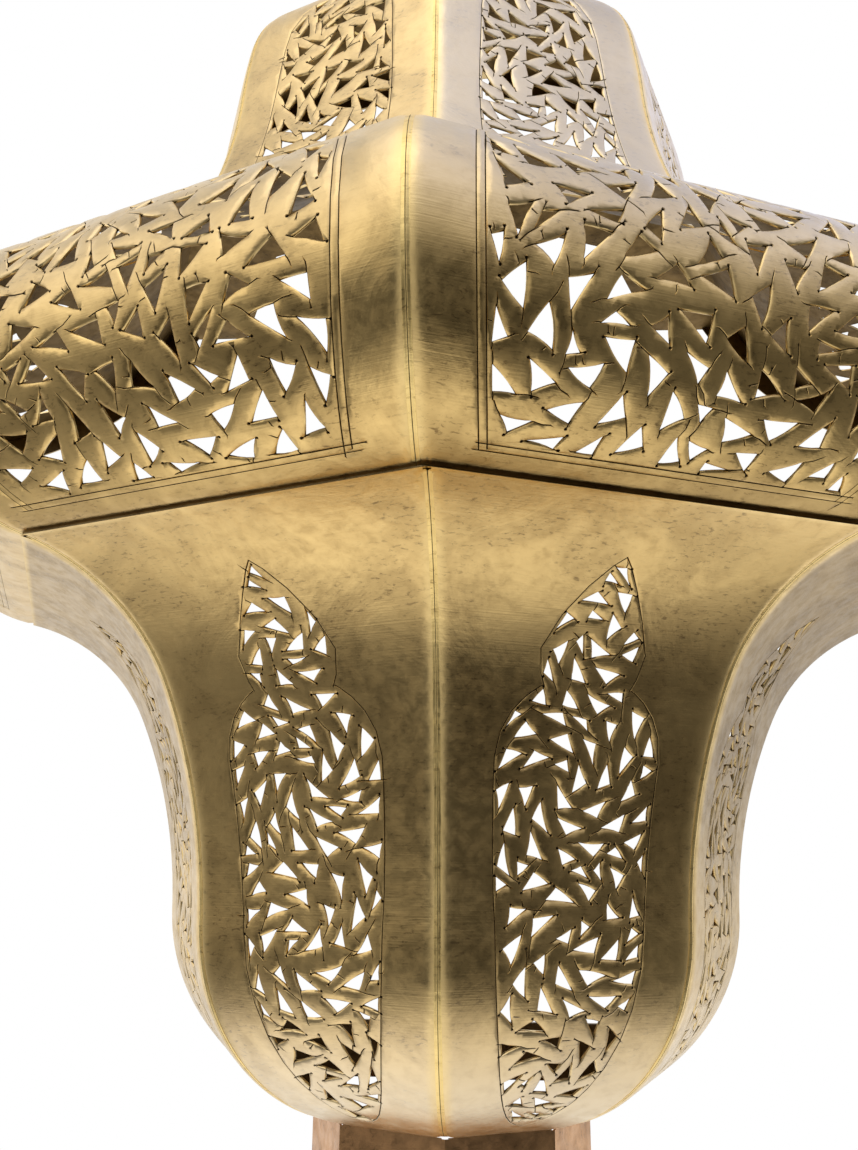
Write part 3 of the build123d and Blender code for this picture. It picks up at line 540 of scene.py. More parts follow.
def flat_panel(tier, version):
    """Flat triangulated fretwork of a facet, with its depths and finish values.

    Outlines, rings just outside the holes and saw cuts are the edges of a constrained
    triangulation over a grid of points, fine in the windows, and triangles inside a hole are
    dropped.  Depth is a bevel and an exponential fall towards a hole's edge, a bevel at the
    sheet's own edge, and a V along each cut, with a blunt cone for each pilot hole.
    """
    seed, whirls = tier["whirls"][version]
    holes = whirl_holes(tier["windows"], whirls, seed=seed, **tier["cut"])
    draw = random.Random(100 + seed)
    lines, dots = saw_cuts(holes, tier["windows"], draw, tier is roof)
    outlines = [bowed(hole, draw) for hole in holes]

    length = tier["length"]
    s = np.linspace(0, length, round(length / border_step))
    reach = half_panel(tier, s)
    border = np.concatenate([np.stack([reach, s], 1), np.stack([-reach, s], 1)[::-1]])

    points, edges, faces, ends = [], [], [], [0]

    def add(row, closed, face=False):
        points.append(row)
        numbers = range(ends[-1], ends[-1] + len(row))
        ends.append(numbers[-1] + 1)
        edges.extend(zip(numbers, numbers[1:]))
        if closed:
            edges.append((numbers[-1], numbers[0]))
        if face:
            faces.append(list(numbers))

    add(border, True, True)
    for outline in outlines:
        add(outline, True, True)
        add(offset(outline, hole_ring), True)
    for line in lines:
        add(line, False)
        for side in (-1, 1):
            add(offset(line, side * cut_width / 2, closed=False), False)
    around = np.arange(pilot_sides) * math.pi / 3
    for dot in dots:
        for share in pilot_rings:
            ring = np.stack([np.cos(around), np.sin(around)], 1) * (share * pilot_radius) + dot
            add(ring, True)
    fixed = np.concatenate(points)
    tails, heads = fixed[np.array(edges).T]

    rng = np.random.default_rng(seed)
    fills = []
    for outline in tier["windows"]:
        low, high = np.min(outline, 0) - window_rim, np.max(outline, 0) + window_rim
        across, along = (np.arange(low[i], high[i], window_grid) for i in (0, 1))
        x, y = np.meshgrid(across, along)
        play = rng.uniform(-window_play, window_play, (x.size, 2))
        fills.append(np.stack([x.ravel(), y.ravel()], 1) + play)
    across = np.arange(-plain_reach, plain_reach, plain_grid[0])
    x, y = np.meshgrid(across, np.arange(2, length, plain_grid[1]))
    play = rng.uniform(-plain_play, plain_play, (x.size, 2))
    fills.append(np.stack([x.ravel(), y.ravel()], 1) + play)
    rows = np.arange(1.5, length - 1, inset_step)
    for inset in border_insets:
        wide = half_panel(tier, rows) - inset
        fills += [np.stack([wide, rows], 1), np.stack([-wide, rows], 1)]
    fill = np.concatenate(fills)
    inside = np.abs(fill[:, 0]) < half_panel(tier, fill[:, 1]) - side_clear
    fill = fill[inside & (fill[:, 1] > end_clear) & (fill[:, 1] < length - end_clear)]
    fill = fill[distance(fill, tails, heads, 1.0) > line_clear]

    given = [Vector(point) for point in np.concatenate([fixed, fill]).tolist()]
    found = delaunay_2d_cdt(given, edges, faces, 0, 1e-4, True)
    flat = np.array([tuple(point) for point in found[0]])
    triangles = np.array([face for face, owners in zip(found[2], found[5]) if owners == [0]])
    used, triangles = np.unique(triangles, return_inverse=True)
    flat, triangles = flat[used], triangles.reshape(-1, 3)

    def segments(rows, closed):
        tails = [row if closed else row[:-1] for row in rows]
        heads = [np.roll(row, -1, 0) if closed else row[1:] for row in rows]
        return np.concatenate(tails), np.concatenate(heads)

    hole_gap = distance(flat, *segments(outlines, True))
    rim_gap = distance(flat, *segments([border], True))
    cut_gap = distance(flat, *segments(lines, False))
    dot_gap = distance(flat, np.array(dots), np.array(dots) + 1e-6)
    groove = np.clip(1 - cut_gap / (cut_width / 2), 0, 1)
    pit = np.clip(pilot_steep * (1 - dot_gap / pilot_radius), 0, 1)
    depth = bevel_depth * (1 - smooth(hole_gap / bevel_width))
    depth += leaf_depth * np.exp(-hole_gap / leaf_fall)
    depth += rim_depth * (1 - smooth(rim_gap / rim_width))
    depth += np.maximum(groove_depth * groove, pilot_depth * pit)
    return {
        "flat": flat,
        "triangles": triangles,
        "depth": depth,
        "cut": np.maximum(groove, pit),
        "edge": np.minimum(hole_gap, edge_reach) / edge_reach,
    }


corner_radius = 9.0


def corner_drop(gap):
    """How far the sheet is bent in at a distance from a corner: an arc tangent to the facet."""
    reach = corner_radius * math.tan(half_turn)
    past = np.clip(reach - gap, 0, reach)
    return corner_radius - np.sqrt(corner_radius**2 - past**2)


sharp_angle = 40


def make_mesh(name, points, faces, materials, uv, values, slots=None):
    """A mesh object of points and faces, with a flat layout, named values and material slots."""
    mesh = bpy.data.meshes.new(name)
    mesh.from_pydata(points.tolist(), [], faces)
    for material in materials:
        mesh.materials.append(material)
    if slots is not None:
        mesh.polygons.foreach_set("material_index", np.asarray(slots, np.int32))
    corners = np.zeros(len(mesh.loops), np.int32)
    mesh.loops.foreach_get("vertex_index", corners)
    layer = mesh.uv_layers.new(name="flat")
    layer.data.foreach_set("uv", np.asarray(uv, float)[corners].ravel())
    for key, value in values.items():
        layer = mesh.attributes.new(key, "FLOAT", "POINT")
        layer.data.foreach_set("value", np.asarray(value, np.float32))
    mesh.validate()
    mesh.shade_smooth()
    mesh.set_sharp_from_angle(angle=math.radians(sharp_angle))
    piece = bpy.data.objects.new(name, mesh)
    bpy.context.scene.collection.objects.link(piece)
    return piece


def adder(tree):
    """Clears a node tree, and gives a function that adds a node with its inputs and settings."""
    tree.nodes.clear()

    def add(kind, inputs=None, **settings):
        node = tree.nodes.new("ShaderNode" + kind)
        for key, value in settings.items():
            setattr(node, key, value)
        for key, value in (inputs or {}).items():
            if isinstance(value, bpy.types.NodeSocket):
                tree.links.new(value, node.inputs[key])
            else:
                node.inputs[key].default_value = value
        return node

    return add


def tree_of(name):
    """A new material, and the function that adds nodes to it."""
    material = bpy.data.materials.new(name)
    material.use_nodes = True
    return material, adder(material.node_tree)


def noise(add, where, scale, detail=3.0, rough=0.55, distortion=0.0):
    """Noise between 0 and 1 at a place, scale in features per metre."""
    settings = {"Vector": where, "Scale": scale, "Detail": detail, "Roughness": rough}
    return add("TexNoise", {**settings, "Distortion": distortion}).outputs[0]


def ramp(add, value, low, high, start=0.0, end=1.0):
    """Smooth step from start to end as a value goes from low to high, level outside them."""
    inputs = {"Value": value, "From Min": low, "From Max": high, "To Min": start, "To Max": end}
    return add("MapRange", inputs, interpolation_type="SMOOTHSTEP").outputs[0]


def times(add, one, other):
    """Product of two values."""
    return add("Math", {0: one, 1: other}, operation="MULTIPLY").outputs[0]


def blend(add, share, one, other, kind="MIX"):
    """Two colours mixed by a share."""
    return add("MixRGB", {0: share, 1: one, 2: other}, blend_type=kind).outputs[0]


cloud_scale, speck_scale, fleck_scale = 34, 210, 1.4
sheet_brushing, bar_brushing = (55, 2400, 1), (300, 300, 2400)
fleck_stretch = (260, 620, 300)
fine_height, wave_height = 0.0004, 0.0016
# Colour of the painted pale sheen, a washed-out reflection laid over the brass
sheen_colour = (0.84, 0.73, 0.56, 1)
# Colour of the painted highlight along the leaves' edges, beside the seams and along the body's rim
rubbed_edge = (1.0, 0.74, 0.32, 1)
# Cuts, pilot holes and the bead's line are painted near black: grime, with painted shade in their grooves
cut_grime_and_shade = (0.012, 0.009, 0.006, 1)


def aged_brass(name, bright, dull, dark, rough, flat):
    """Aged brass: bright metal, cloudy dull patches, dark tarnish flecks and fine brushing.

    Flat brass follows the laid out sheet and its named values: brushing runs across the facet, a painted
    pale sheen and painted shade lie where those values say, cuts are painted near black as grime with
    painted shade, and a painted highlight runs along the edges of the leaves.
    """
    material, add = tree_of(name)
    if flat:
        where = add("UVMap", uv_map="flat").outputs[0]
    else:
        where = add("TexCoord").outputs["Object"]
    clouds = noise(add, where, cloud_scale, 5, 0.62, 0.8)
    small = noise(add, where, speck_scale, 4, 0.65, 0.4)
    stretch = sheet_brushing if flat else bar_brushing
    brushed = add("Mapping", {"Vector": where, "Scale": stretch}).outputs[0]
    strokes = noise(add, brushed, 1, 3, 0.6)
    scratch = add("Mapping", {"Vector": where, "Scale": fleck_stretch}).outputs[0]
    flecks = noise(add, scratch, fleck_scale, 4, 0.7, 0.5)
    tone = blend(add, ramp(add, clouds, 0.38, 0.66, 0.0, 0.85), bright, dull)
    tarnish = times(add, ramp(add, flecks, 0.53, 0.68), ramp(add, clouds, 0.44, 0.62, 0.1, 0.85))
    tone = blend(add, tarnish, tone, dark)
    tone = blend(add, ramp(add, small, 0.5, 0.75, 0.0, 0.35), tone, dull)
    roughness = ramp(add, small, 0.3, 0.75, rough - 0.05, rough + 0.12)
    height = blend(add, 0.4, strokes, small)
    if flat:
        painted_shade = add("Attribute", attribute_name="painted_shade").outputs["Fac"]
        painted_sheen = add("Attribute", attribute_name="painted_sheen").outputs["Fac"]
        # Painted sheen: a pale wash over the brass where its laid out value says
        tone = blend(add, times(add, painted_sheen, 0.8), tone, sheen_colour)
        edge = add("Attribute", attribute_name="edge").outputs["Fac"]
        cut = add("Attribute", attribute_name="cut").outputs["Fac"]
        # Painted shade: the flat brass turns dark where its laid out value says, a little patchy with the
        # clouds
        tone = blend(add, times(add, painted_shade, ramp(add, clouds, 0.2, 0.7, 0.75, 1.0)), tone, dark)
        # Painted highlight: bright brass close to the edges of the leaves, the seams and the rim
        tone = blend(add, ramp(add, edge, 0.01, 0.11, 0.6, 0.0), tone, rubbed_edge)
        # Grime with painted shade: the cuts turn near black
        tone = blend(add, ramp(add, cut, 0.15, 0.7, 0.0, 0.97), tone, cut_grime_and_shade)
        roughness = add("Math", {0: roughness, 1: ramp(add, cut, 0.1, 0.6, 0.0, 0.4)}).outputs[0]
    fine = add("Bump", {"Strength": 0.17, "Distance": fine_height, "Height": height}).outputs[0]
    waves = {"Strength": 0.22, "Distance": wave_height, "Height": clouds, "Normal": fine}
    normal = add("Bump", waves).outputs[0]
    inputs = {"Base Color": tone, "Roughness": roughness, "Metallic": 1.0, "Normal": normal}
    add("OutputMaterial", {0: add("BsdfPrincipled", inputs).outputs[0]})
    return material


panel_brass = aged_brass(
    "panel_brass", (0.90, 0.62, 0.235, 1), (0.63, 0.42, 0.15, 1), (0.22, 0.128, 0.038, 1), 0.33, True
)
# Painted shade: the inside faces are the same brass, painted dark for the shade inside the lantern
shaded_inside_brass = aged_brass(
    "shaded_inside_brass", (0.25, 0.155, 0.05, 1), (0.14, 0.085, 0.028, 1), (0.045, 0.028, 0.011, 1), 0.52, False
)

azimuths = {"side_left": -67.5, "front_left": -22.5, "front_right": 22.5, "side_right": 67.5}
version_of = {"side_left": "b", "front_left": "a", "front_right": "b", "side_right": "a"}
wall_side = {"side_left": -1, "side_right": 1}
side_margin = 0.25
seam_fade = 6
left_shade = 0.75
side_sheen = 0.4
side_shade, side_shade_fade = {-1: 0.45, 1: 0.7}, 70
# Reach of the painted highlight beside the seams and along the body's rim
seam_glint, least_seam_glint = 40, 0.02
rim_glint, least_rim_glint = 18, 0.01
pattern_shift = 0.01
# Shares of painted shade and of painted pale sheen at length s; right is 1 on the two facets to the right
# Painted shade: the body darker in its middle, where it mirrors the dim room in front, and the roof
# darker at its lower edge
shade_of = {
    "body": lambda s: 0.42 * smooth((s - 28) / 38) * (1 - smooth((s - 115) / 60)),
    "roof": lambda s: 0.12 * smooth((s - 12) / 22) + 0.4 * (1 - smooth((s - 4) / 10)),
    "tower": lambda s: 0.1 * smooth(s / 30),
}
# Painted sheen: pale low on the body, high on the roof and over the tower, paler on the right facets of
# the roof and tower
sheen_of = {
    "body": lambda s, right: 0.1 + 0.75 * smooth((s - 135) / 50),
    "roof": lambda s, right: 0.05 + (0.6 + 0.25 * right) * smooth((s - 45) / 45),
    "tower": lambda s, right: 0.3 + 0.6 * right + 0 * s,
}
for tier_name, tier in tiers.items():
    flats = {version: flat_panel(tier, version) for version in ("a", "b")}
    for side, azimuth in azimuths.items():
        laid = flats[version_of[side]]
        x, s = laid["flat"].T
        half = half_panel(tier, s)
        seam_gap = np.minimum(half - x, half + x)
        if side in wall_side:
            # No bead here: the sheet is drawn out to reach the wall
            wall = wall_side[side]
            seam_gap = half + wall * x
            plain = smooth((wall * x - (1 - side_margin) * half) / (side_margin * half))
            x = x + wall * plain / math.cos(half_turn)
        fold = corner_drop(bead_half + seam_gap * math.cos(half_turn))
        outer = bend(tier, azimuth, x, s, laid["depth"] + fold)
        inner = bend(tier, azimuth, x, s, sheet + fold)
        count = len(x)
        front = laid["triangles"]
        triangle_sides = np.concatenate([front[:, [0, 1]], front[:, [1, 2]], front[:, [2, 0]]])
        pairs = np.sort(triangle_sides, 1)
        _, index, uses = np.unique(pairs, axis=0, return_index=True, return_counts=True)
        open_edges = triangle_sides[index[uses == 1]]
        back = front[:, ::-1] + count
        walls = np.concatenate([open_edges[:, ::-1], open_edges + count], 1)
        if tier["inward"] < 0:
            front, back, walls = front[:, ::-1], back[:, ::-1], walls[:, ::-1]
        faces = front.tolist() + walls.tolist() + back.tolist()
        slots = [0] * (len(front) + len(walls)) + [1] * len(back)
        # Painted shade: weaker on the left facets, which face the brighter side of the room
        painted_shade = shade_of[tier_name](s) * (1.0 if azimuth > 0 else left_shade)
        painted_sheen = sheen_of[tier_name](s, azimuth > 0)
        if side in wall_side:
            # Painted sheen, paler on the side facets
            painted_sheen = side_sheen + side_sheen * painted_sheen
            # Painted shade on the body's side facets, darker near the rim and more on the right
            faded = smooth((s - side_shade_fade) / side_shade_fade)
            painted_shade = side_shade[wall] * (1 - faded) * (tier is body)
        painted_shade = painted_shade * smooth(seam_gap / seam_fade)
        # Painted highlight beside the seams and, on the body, along the rim
        edge = np.minimum(laid["edge"], least_seam_glint + np.maximum(seam_gap, 0) / seam_glint)
        if tier is body:
            edge = np.minimum(edge, least_rim_glint + s / rim_glint)
        piece = make_mesh(
            f"{tier_name}_sheet_{side}",
            np.concatenate([outer, inner]),
            faces,
            [panel_brass, shaded_inside_brass],
            uv=np.tile(laid["flat"] * mm + (azimuth * pattern_shift, 0), (2, 1)),
            values={
                "cut": np.concatenate([laid["cut"], 0 * x]),
                "edge": np.tile(edge, 2),
                "painted_shade": np.tile(painted_shade, 2),
                "painted_sheen": np.tile(painted_sheen, 2),
            },
            slots=slots,
        )
        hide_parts(f"{tier_name}_panel_{side}")
        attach(piece, "lantern")

# Soldered seams
# Between two panels a bead of solder fills the mitre. It is filed bright, and its brass is painted
# lighter still as a painted highlight; it stands a little proud, and has a thin dark line along its
# middle and short file marks across it. On the body it spreads at the rim.
# Filed solder with a painted highlight: the bead's brass is lighter and more even than the panels'
seam_brass = aged_brass(
    "seam_brass", (1.0, 0.74, 0.30, 1), (0.92, 0.66, 0.25, 1), (0.30, 0.18, 0.06, 1), 0.34, True
)
bead_row = 0.7
bead_gaps = bead_half * np.array([1, 0.93, 0.8, 0.6, 0.35, 0.16, 0.07, 0])
bead_proud = 0.3
bead_flare, flare_fall = 1.8, 1.8
uneven_rows, uneven_height = 9, 0.045
line_half, line_tone, line_depth = 0.19, 0.75, 0.12
mark_share, mark_half, mark_tone, mark_depth = 0.08, 0.8, 0.25, 0.07
for tier_name, tier in tiers.items():
    for side, azimuth in (("left", -45.0), ("front", 0.0), ("right", 45.0)):
        rng = np.random.default_rng(len(tier_name) + int(azimuth) + 90)
        rows = np.linspace(0, tier["length"], round(tier["length"] / bead_row))
        flare = 1 + bead_flare * np.exp(-rows / flare_fall) * (tier is body)
        s, gap = np.meshgrid(rows, bead_gaps, indexing="ij")
        marks = (rng.random(len(rows)) < mark_share)[:, None]
        base = corner_drop(bead_half * flare)[:, None]
        crown = corner_drop(np.array(0.0)) - bead_proud
        knots = rows[::uneven_rows]
        uneven = np.interp(rows, knots, rng.normal(0, uneven_height, len(knots)))
        swell = np.sqrt(1 - np.clip(gap / bead_half, 0, 1) ** 2)
        depth = base + (crown + uneven[:, None] - base) * swell
        # The line along the middle and the file marks are painted dark too: grime, with painted shade in
        # their grooves
        line = line_tone * np.clip(1 - gap / line_half, 0, 1)
        depth += line_depth * line + mark_depth * marks * (gap < mark_half)
        out = walk(tier, s)[0]
        x = -out * math.tan(half_turn) + flare[:, None] * gap / math.cos(half_turn)
        # Half a bead is bent on the facet to its right, mirrored, and turned to its corner
        centred = {**tier, "shift": 0}
        halves = []
        for layer in (depth, np.full_like(depth, sheet)):
            flat_bead = x.ravel(), s.ravel(), layer.ravel()
            points = bend(centred, math.degrees(half_turn), *flat_bead)
            points = points.reshape(len(rows), len(bead_gaps), 3)
            mirrored = points[:, ::-1][:, 1:] * (-1, 1, 1)
            halves.append(np.concatenate([points, mirrored], 1))
        ring = np.concatenate([halves[0], halves[1][:, ::-1]], 1)
        turn = math.radians(azimuth)
        spin = np.eye(3)
        spin[:2, :2] = [[math.cos(turn), -math.sin(turn)], [math.sin(turn), math.cos(turn)]]
        ring = ring @ spin.T + (tier["shift"] * mm, 0, 0)
        wide = ring.shape[1]
        numbers = np.arange(ring.shape[0] * wide).reshape(-1, wide)
        here, there = numbers[:-1], numbers[1:]
        quads = np.stack([here, np.roll(here, -1, 1), np.roll(there, -1, 1), there], 2).reshape(-1, 4)
        caps = [numbers[0, ::-1].tolist(), numbers[-1].tolist()]
        if tier["inward"] > 0:
            quads = quads[:, ::-1]
            caps = [cap[::-1] for cap in caps]
        across = np.concatenate([bead_gaps, -bead_gaps[::-1][1:]])
        across = np.concatenate([across, across[::-1]])
        layout = np.stack(np.broadcast_arrays(across[None] * mm, rows[:, None] * mm), 2)
        dark = np.concatenate([line, line[:, ::-1][:, 1:]], 1)
        scored = np.maximum(dark, mark_tone * marks * np.ones_like(dark))
        piece = make_mesh(
            f"{tier_name}_bead_{side}",
            ring.reshape(-1, 3),
            quads.tolist() + caps,
            [seam_brass],
            uv=layout.reshape(-1, 2),
            values={
                "cut": np.concatenate([scored, 0 * scored], 1).ravel(),
                "edge": np.ones(ring.shape[0] * wide),
                "painted_shade": np.zeros(ring.shape[0] * wide),
                "painted_sheen": np.zeros(ring.shape[0] * wide),
            },
        )
        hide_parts(f"{tier_name}_seam_{side}")
        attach(piece, "lantern")

# Back edges, rim ring and neck ring
# Flat strips and half rings cut from the same brass sheet, painted darker as painted shade: the strips
# for the shade along the wall, the rim ring for the shadow gap under the roof, and the neck ring with the
# shaded inside brass. The strips are soldered along the edges on the wall, and the two rings join the
# tiers and stiffen them.
# Painted shade: the same brass, darker, for the shadow gap under the roof and the edges against the wall
edge_brass = aged_brass(
    "edge_brass", (0.55, 0.42, 0.22, 1), (0.36, 0.26, 0.13, 1), (0.10, 0.07, 0.04, 1), 0.42, False
)
flat_nodes = [f"{tier}_back_edge_{side}" for tier in tiers for side in ("left", "right")]


def finish_nodes(names, material):
    """Gives CAD nodes one material."""
    for name in names:
        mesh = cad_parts[name].data
        mesh.materials.clear()
        mesh.materials.append(material)


finish_nodes(flat_nodes + ["rim_plate"], edge_brass)
# The neck ring, recessed between roof and tower, gets the same painted shade
finish_nodes(["neck_plate"], shaded_inside_brass)

# Foot and crown
# A collar, a dish and a plate close the body, a neck and a dome close the tower, and each end has a
# turned finial. They are sheet and bar brass, darker than the panels.
foot_brass = aged_brass(
    "foot_brass", (0.72, 0.40, 0.18, 1), (0.50, 0.27, 0.12, 1), (0.14, 0.08, 0.04, 1), 0.34, False
)
turned_brass = aged_brass(
    "turned_brass", (0.78, 0.60, 0.31, 1), (0.55, 0.40, 0.19, 1), (0.15, 0.10, 0.05, 1), 0.28, False
)
finish_nodes(["foot_collar", "foot_dish", "foot_plate"], foot_brass)
finish_nodes(["crown_plate", "crown_neck", "crown_dome", "crown_cap"], turned_brass)
finish_nodes(["drop_finial", "top_finial"], turned_brass)

# Frame at the back
# A spine and three straps of dull brass bar, riveted together and to the back edges.  The lamp's
# bracket is a bent strip of the same bar, screwed to the spine.
bar_brass = aged_brass(
    "bar_brass", (0.30, 0.22, 0.12, 1), (0.20, 0.14, 0.075, 1), (0.06, 0.04, 0.025, 1), 0.45, False
)
finish_nodes(["spine", "lower_strap", "cross_strap", "upper_strap", "lamp_bracket"], bar_brass)
finish_nodes(["strap_rivets"], turned_brass)


# Lampholder
# A candle holder of black plastic, with a brass contact and a brass thread inside.  A plated
# nipple and its nut hold the cup on the bracket, and the sleeve stands on the cup.
def moulded(name, colour, rough, scale=1500):
    """Moulded plastic or rubber: fine grain and a slight mottle of the colour."""
    material, add = tree_of(name)
    where = add("TexCoord").outputs["Object"]
    grain = noise(add, where, scale, 3)
    mottle = noise(add, where, 60, 3)
    darker = tuple(0.8 * part for part in colour[:3]) + (1,)
    tone = blend(add, ramp(add, mottle, 0.35, 0.7, 0.0, 0.6), colour, darker)
    bump = add("Bump", {"Strength": 0.15, "Distance": 0.0002, "Height": grain})
    roughness = ramp(add, grain, 0.3, 0.7, rough, rough + 0.12)
    inputs = {"Base Color": tone, "Roughness": roughness, "Normal": bump.outputs[0]}
    add("OutputMaterial", {0: add("BsdfPrincipled", inputs).outputs[0]})
    return material


def plated(name, colour, rough):
    """Plated metal: bright, with faint clouds and fine turning marks."""
    material, add = tree_of(name)
    where = add("TexCoord").outputs["Object"]
    clouds = noise(add, where, 90, 3)
    turned = add("Mapping", {"Vector": where, "Scale": (200, 200, 4000)}).outputs[0]
    marks = noise(add, turned, 1, 2)
    darker = tuple(0.7 * part for part in colour[:3]) + (1,)
    tone = blend(add, ramp(add, clouds, 0.35, 0.7, 0.0, 0.6), colour, darker)
    bump = add("Bump", {"Strength": 0.12, "Distance": 0.0002, "Height": marks})
    roughness = ramp(add, marks, 0.3, 0.7, rough, rough + 0.12)
    inputs = {"Base Color": tone, "Roughness": roughness, "Metallic": 1.0, "Normal": bump.outputs[0]}
    add("OutputMaterial", {0: add("BsdfPrincipled", inputs).outputs[0]})
    return material


black_plastic = moulded("black_plastic", (0.045, 0.043, 0.04, 1), 0.38)
nickel = plated("nickel", (0.66, 0.65, 0.62, 1), 0.24)
finish_nodes(["holder_cup", "holder_sleeve", "holder_insert"], black_plastic)
finish_nodes(["bracket_screws", "lock_nuts", "holder_nipple"], nickel)
finish_nodes(["holder_contact", "holder_thread"], turned_brass)

# Bulb
# A clear candle bulb with coated filament strips.  The glass is blown and cemented into a
# plated screw cap, which turns in the holder's thread.
clear_glass, add = tree_of("clear_glass")
where = add("TexCoord").outputs["Object"]
ripple = add("Bump", {"Strength": 0.05, "Distance": 0.0004, "Height": noise(add, where, 120, 2)})
glass_tone = blend(add, noise(add, where, 40, 2), (0.97, 0.97, 0.95, 1), (0.93, 0.94, 0.92, 1))
glass = {"Base Color": glass_tone, "Roughness": 0.02, "Normal": ripple.outputs[0]}
shader = add("BsdfPrincipled", {**glass, "Transmission Weight": 1.0, "IOR": 1.46})
add("OutputMaterial", {0: shader.outputs[0]})
finish_nodes(["bulb_glass", "bulb_stem"], clear_glass)
finish_nodes(["bulb_cap", "bulb_tip"], nickel)
finish_nodes(["bulb_filaments"], moulded("phosphor", (0.86, 0.62, 0.18, 1), 0.6, 4000))

# Wiring
# A rubber grommet in the spine for the supply, a white plastic terminal block on the spine's
# front, and a short sheathed lead that runs from the block into the lampholder's nipple.
finish_nodes(["terminal_block"], moulded("white_plastic", (0.80, 0.78, 0.72, 1), 0.4))
finish_nodes(["supply_grommet"], moulded("black_rubber", (0.03, 0.03, 0.03, 1), 0.62))
finish_nodes(["lamp_lead"], moulded("cable_sheath", (0.74, 0.71, 0.64, 1), 0.45))

# Studio
# A plain pale floor well below the lantern, one large soft lamp overhead, and a pale surround.
# Mirrored in the brass, the room is dim in front, about level, and brighter above, below and
# behind, with a band straight ahead that lights the seams.
floor_level = cad_box[0].z - 0.30
floor_reach = 1.3
corners = [(-1, -1), (1, -1), (1, 1), (-1, 1)]
floor_points = [(x * floor_reach, y * floor_reach, floor_level) for x, y in corners]
floor_mesh = bpy.data.meshes.new("floor")
floor_mesh.from_pydata(floor_points, [], [(0, 1, 2, 3)])
floor = bpy.data.objects.new("floor", floor_mesh)
bpy.context.scene.collection.objects.link(floor)


def larger(add, one, other):
    """The larger of two values."""
    return add("Math", {0: one, 1: other}, operation="MAXIMUM").outputs[0]


def left_to_right(add, x, left, right):
    """A value taken from its left to its right level across the middle."""
    return ramp(add, x, -0.45, 0.45, left, right)


pale_floor, add = tree_of("pale_floor")
place = add("TexCoord").outputs["Object"]
paint = noise(add, place, 3, 2)
tone = blend(add, paint, (0.86, 0.86, 0.85, 1), (0.82, 0.82, 0.81, 1))
matt = add("BsdfPrincipled", {"Base Color": tone, "Roughness": 0.9})
floor_x, floor_y = add("SeparateXYZ", {0: place}).outputs[:2]
level_place = add("CombineXYZ", {0: floor_x, 1: floor_y}).outputs[0]
from_axis = add("VectorMath", {0: level_place}, operation="LENGTH").outputs["Value"]
pool = times(add, ramp(add, from_axis, 0.74, 0.34, 0.06, 1.15), left_to_right(add, floor_x, 1.0, 0.8))
near_wall = times(add, ramp(add, floor_y, 0.05, 0.5), left_to_right(add, floor_x, 1.0, 1.1))
left_back = add("Math", {0: floor_y, 1: floor_x}, operation="SUBTRACT").outputs[0]
left_glow = ramp(add, left_back, 0.1, 0.42, 0.0, 0.28)
right_back = add("Math", {0: floor_y, 1: floor_x}).outputs[0]
right_glow = ramp(add, right_back, 0.0, 0.35, 0.0, 0.14)
floor_middle = times(add, ramp(add, floor_x, -0.42, -0.18), ramp(add, floor_x, 0.34, 0.1))
floor_band = times(add, floor_middle, ramp(add, floor_y, -0.3, -0.55, 0.0, 0.5))
bright = larger(add, larger(add, pool, near_wall), larger(add, left_glow, right_glow))
glow = add("Emission", {"Color": (1, 1, 1, 1), "Strength": larger(add, bright, floor_band)})
rays = add("LightPath")
mixed = add("MixShader", {0: rays.outputs["Is Glossy Ray"], 1: matt.outputs[0], 2: glow.outputs[0]})
add("OutputMaterial", {0: mixed.outputs[0]})
floor_mesh.materials.append(pale_floor)

world = bpy.data.worlds.new("surround")
bpy.context.scene.world = world
world.use_nodes = True
add = adder(world.node_tree)
toward = add("SeparateXYZ", {0: add("TexCoord").outputs["Generated"]})
to_right, to_wall, upward = toward.outputs[:3]
left_high = ramp(add, upward, 0.45, 0.9, 1.0, 0.45)
left_rise = times(add, ramp(add, upward, -0.22, 0.38, 0.06, 1.25), left_high)
right_high = ramp(add, upward, 0.6, 1.0, 1.0, 0.6)
right_rise = times(add, ramp(add, upward, -0.2, 0.85, 0.035, 1.1), right_high)
front = blend(add, left_to_right(add, to_right, 0.0, 1.0), left_rise, right_rise)
behind = times(add, ramp(add, to_wall, 0.0, 0.4), left_to_right(add, to_right, 0.95, 0.75))
below = ramp(add, upward, -0.60, -0.90, 0.0, 0.9)
left_end = ramp(add, to_right, -0.74, -0.90, 0.0, 0.3)
right_end = ramp(add, to_right, 0.70, 0.84, 0.0, 0.13)
sky_middle = times(add, ramp(add, to_right, -0.38, -0.16), ramp(add, to_right, 0.32, 0.1))
sky_band = times(add, sky_middle, ramp(add, to_wall, -0.3, -0.6, 0.0, 0.55))
extra = larger(add, larger(add, left_end, right_end), sky_band)
room = larger(add, larger(add, front, behind), extra)
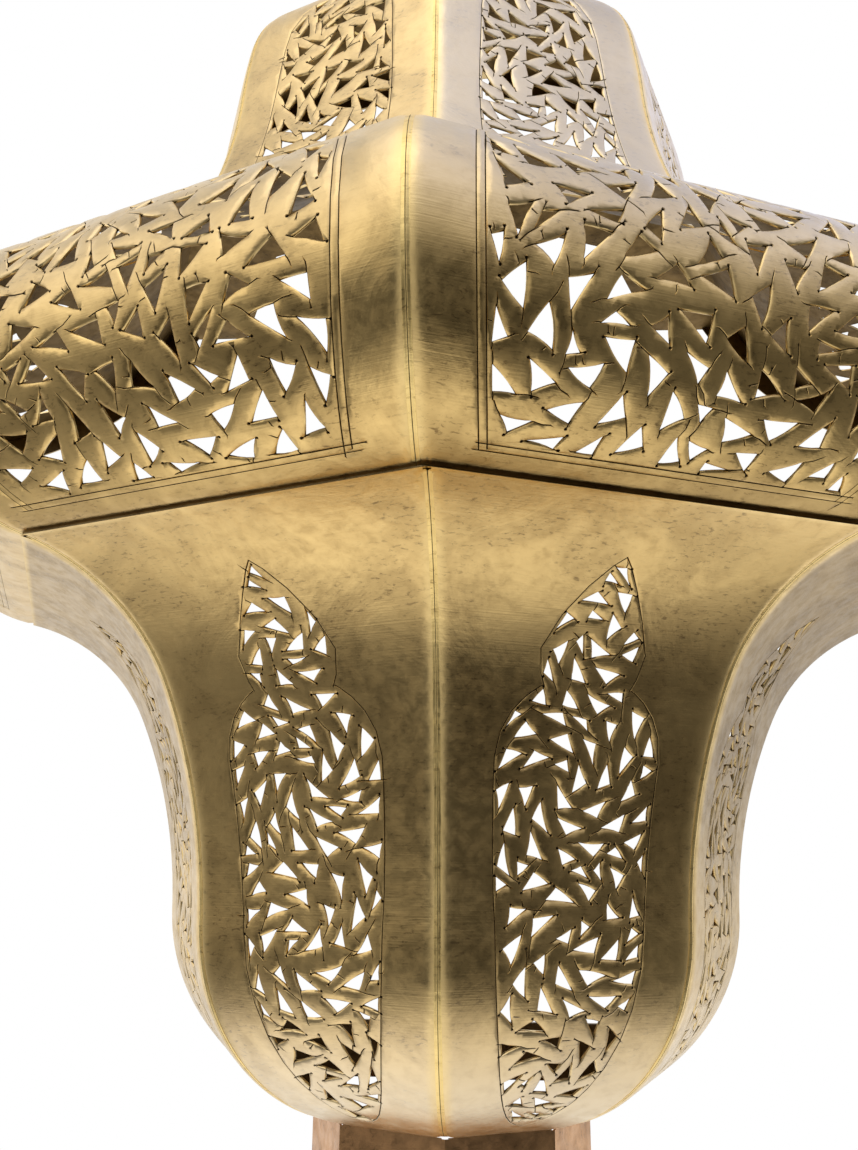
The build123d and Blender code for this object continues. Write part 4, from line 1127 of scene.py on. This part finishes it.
cool = times(add, ramp(add, upward, 0.1, 0.7), ramp(add, to_right, -0.2, 0.4))
hue = blend(add, cool, (1, 1, 1, 1), (0.94, 1.0, 1.3, 1))
mirrored = blend(add, 1.0, larger(add, room, below), hue, "MULTIPLY")
rays = add("LightPath")
level = blend(add, rays.outputs["Is Glossy Ray"], (0.75, 0.75, 0.75, 1), mirrored)
seen = larger(add, rays.outputs["Is Camera Ray"], rays.outputs["Is Transmission Ray"])
surround = blend(add, seen, level, (1, 1, 1, 1))
background = add("Background", {"Color": surround, "Strength": 1.0})
add("OutputWorld", {0: background.outputs[0]})

lamp = bpy.data.lights.new("overhead", "AREA")
lamp.shape = "SQUARE"
lamp.size = 1.6
lamp.energy = 6.0
overhead = bpy.data.objects.new("overhead", lamp)
bpy.context.scene.collection.objects.link(overhead)
overhead.location = (-0.25, -0.8, 1.5)
overhead.rotation_euler = (Vector((0, 0, 0)) - overhead.location).to_track_quat("-Z", "Y").to_euler()

# Camera
# It stands close in front of the lantern, a little below the rim, and looks up at it.  Its
# place, its turn and its focal length follow from the perspective of the lantern's corners.
camera_place = Vector((0.01358, -0.37892, -0.08474))
yaw, pitch, roll = math.radians(3.425), math.radians(15.296), math.radians(0.542)
focal_pixels = 1008.04
long_side_pixels = 1150
level_look = math.cos(pitch)
look = Vector((-math.sin(yaw) * level_look, math.cos(yaw) * level_look, math.sin(pitch)))
level_right = Vector((math.cos(yaw), math.sin(yaw), 0))
level_up = level_right.cross(look)
right = level_right * math.cos(roll) + level_up * math.sin(roll)
up = level_up * math.cos(roll) - level_right * math.sin(roll)
view = bpy.data.cameras.new("camera")
view.sensor_width = 36
view.lens = focal_pixels / long_side_pixels * view.sensor_width
view.clip_start = 0.01
view.clip_end = 50
camera = bpy.data.objects.new("camera", view)
bpy.context.scene.collection.objects.link(camera)
camera_turn = Matrix((right, up, -look)).transposed().to_4x4()
camera.matrix_world = Matrix.Translation(camera_place) @ camera_turn
bpy.context.scene.camera = camera
bpy.context.scene.view_settings.view_transform = "Standard"

bpy.context.view_layer.update()
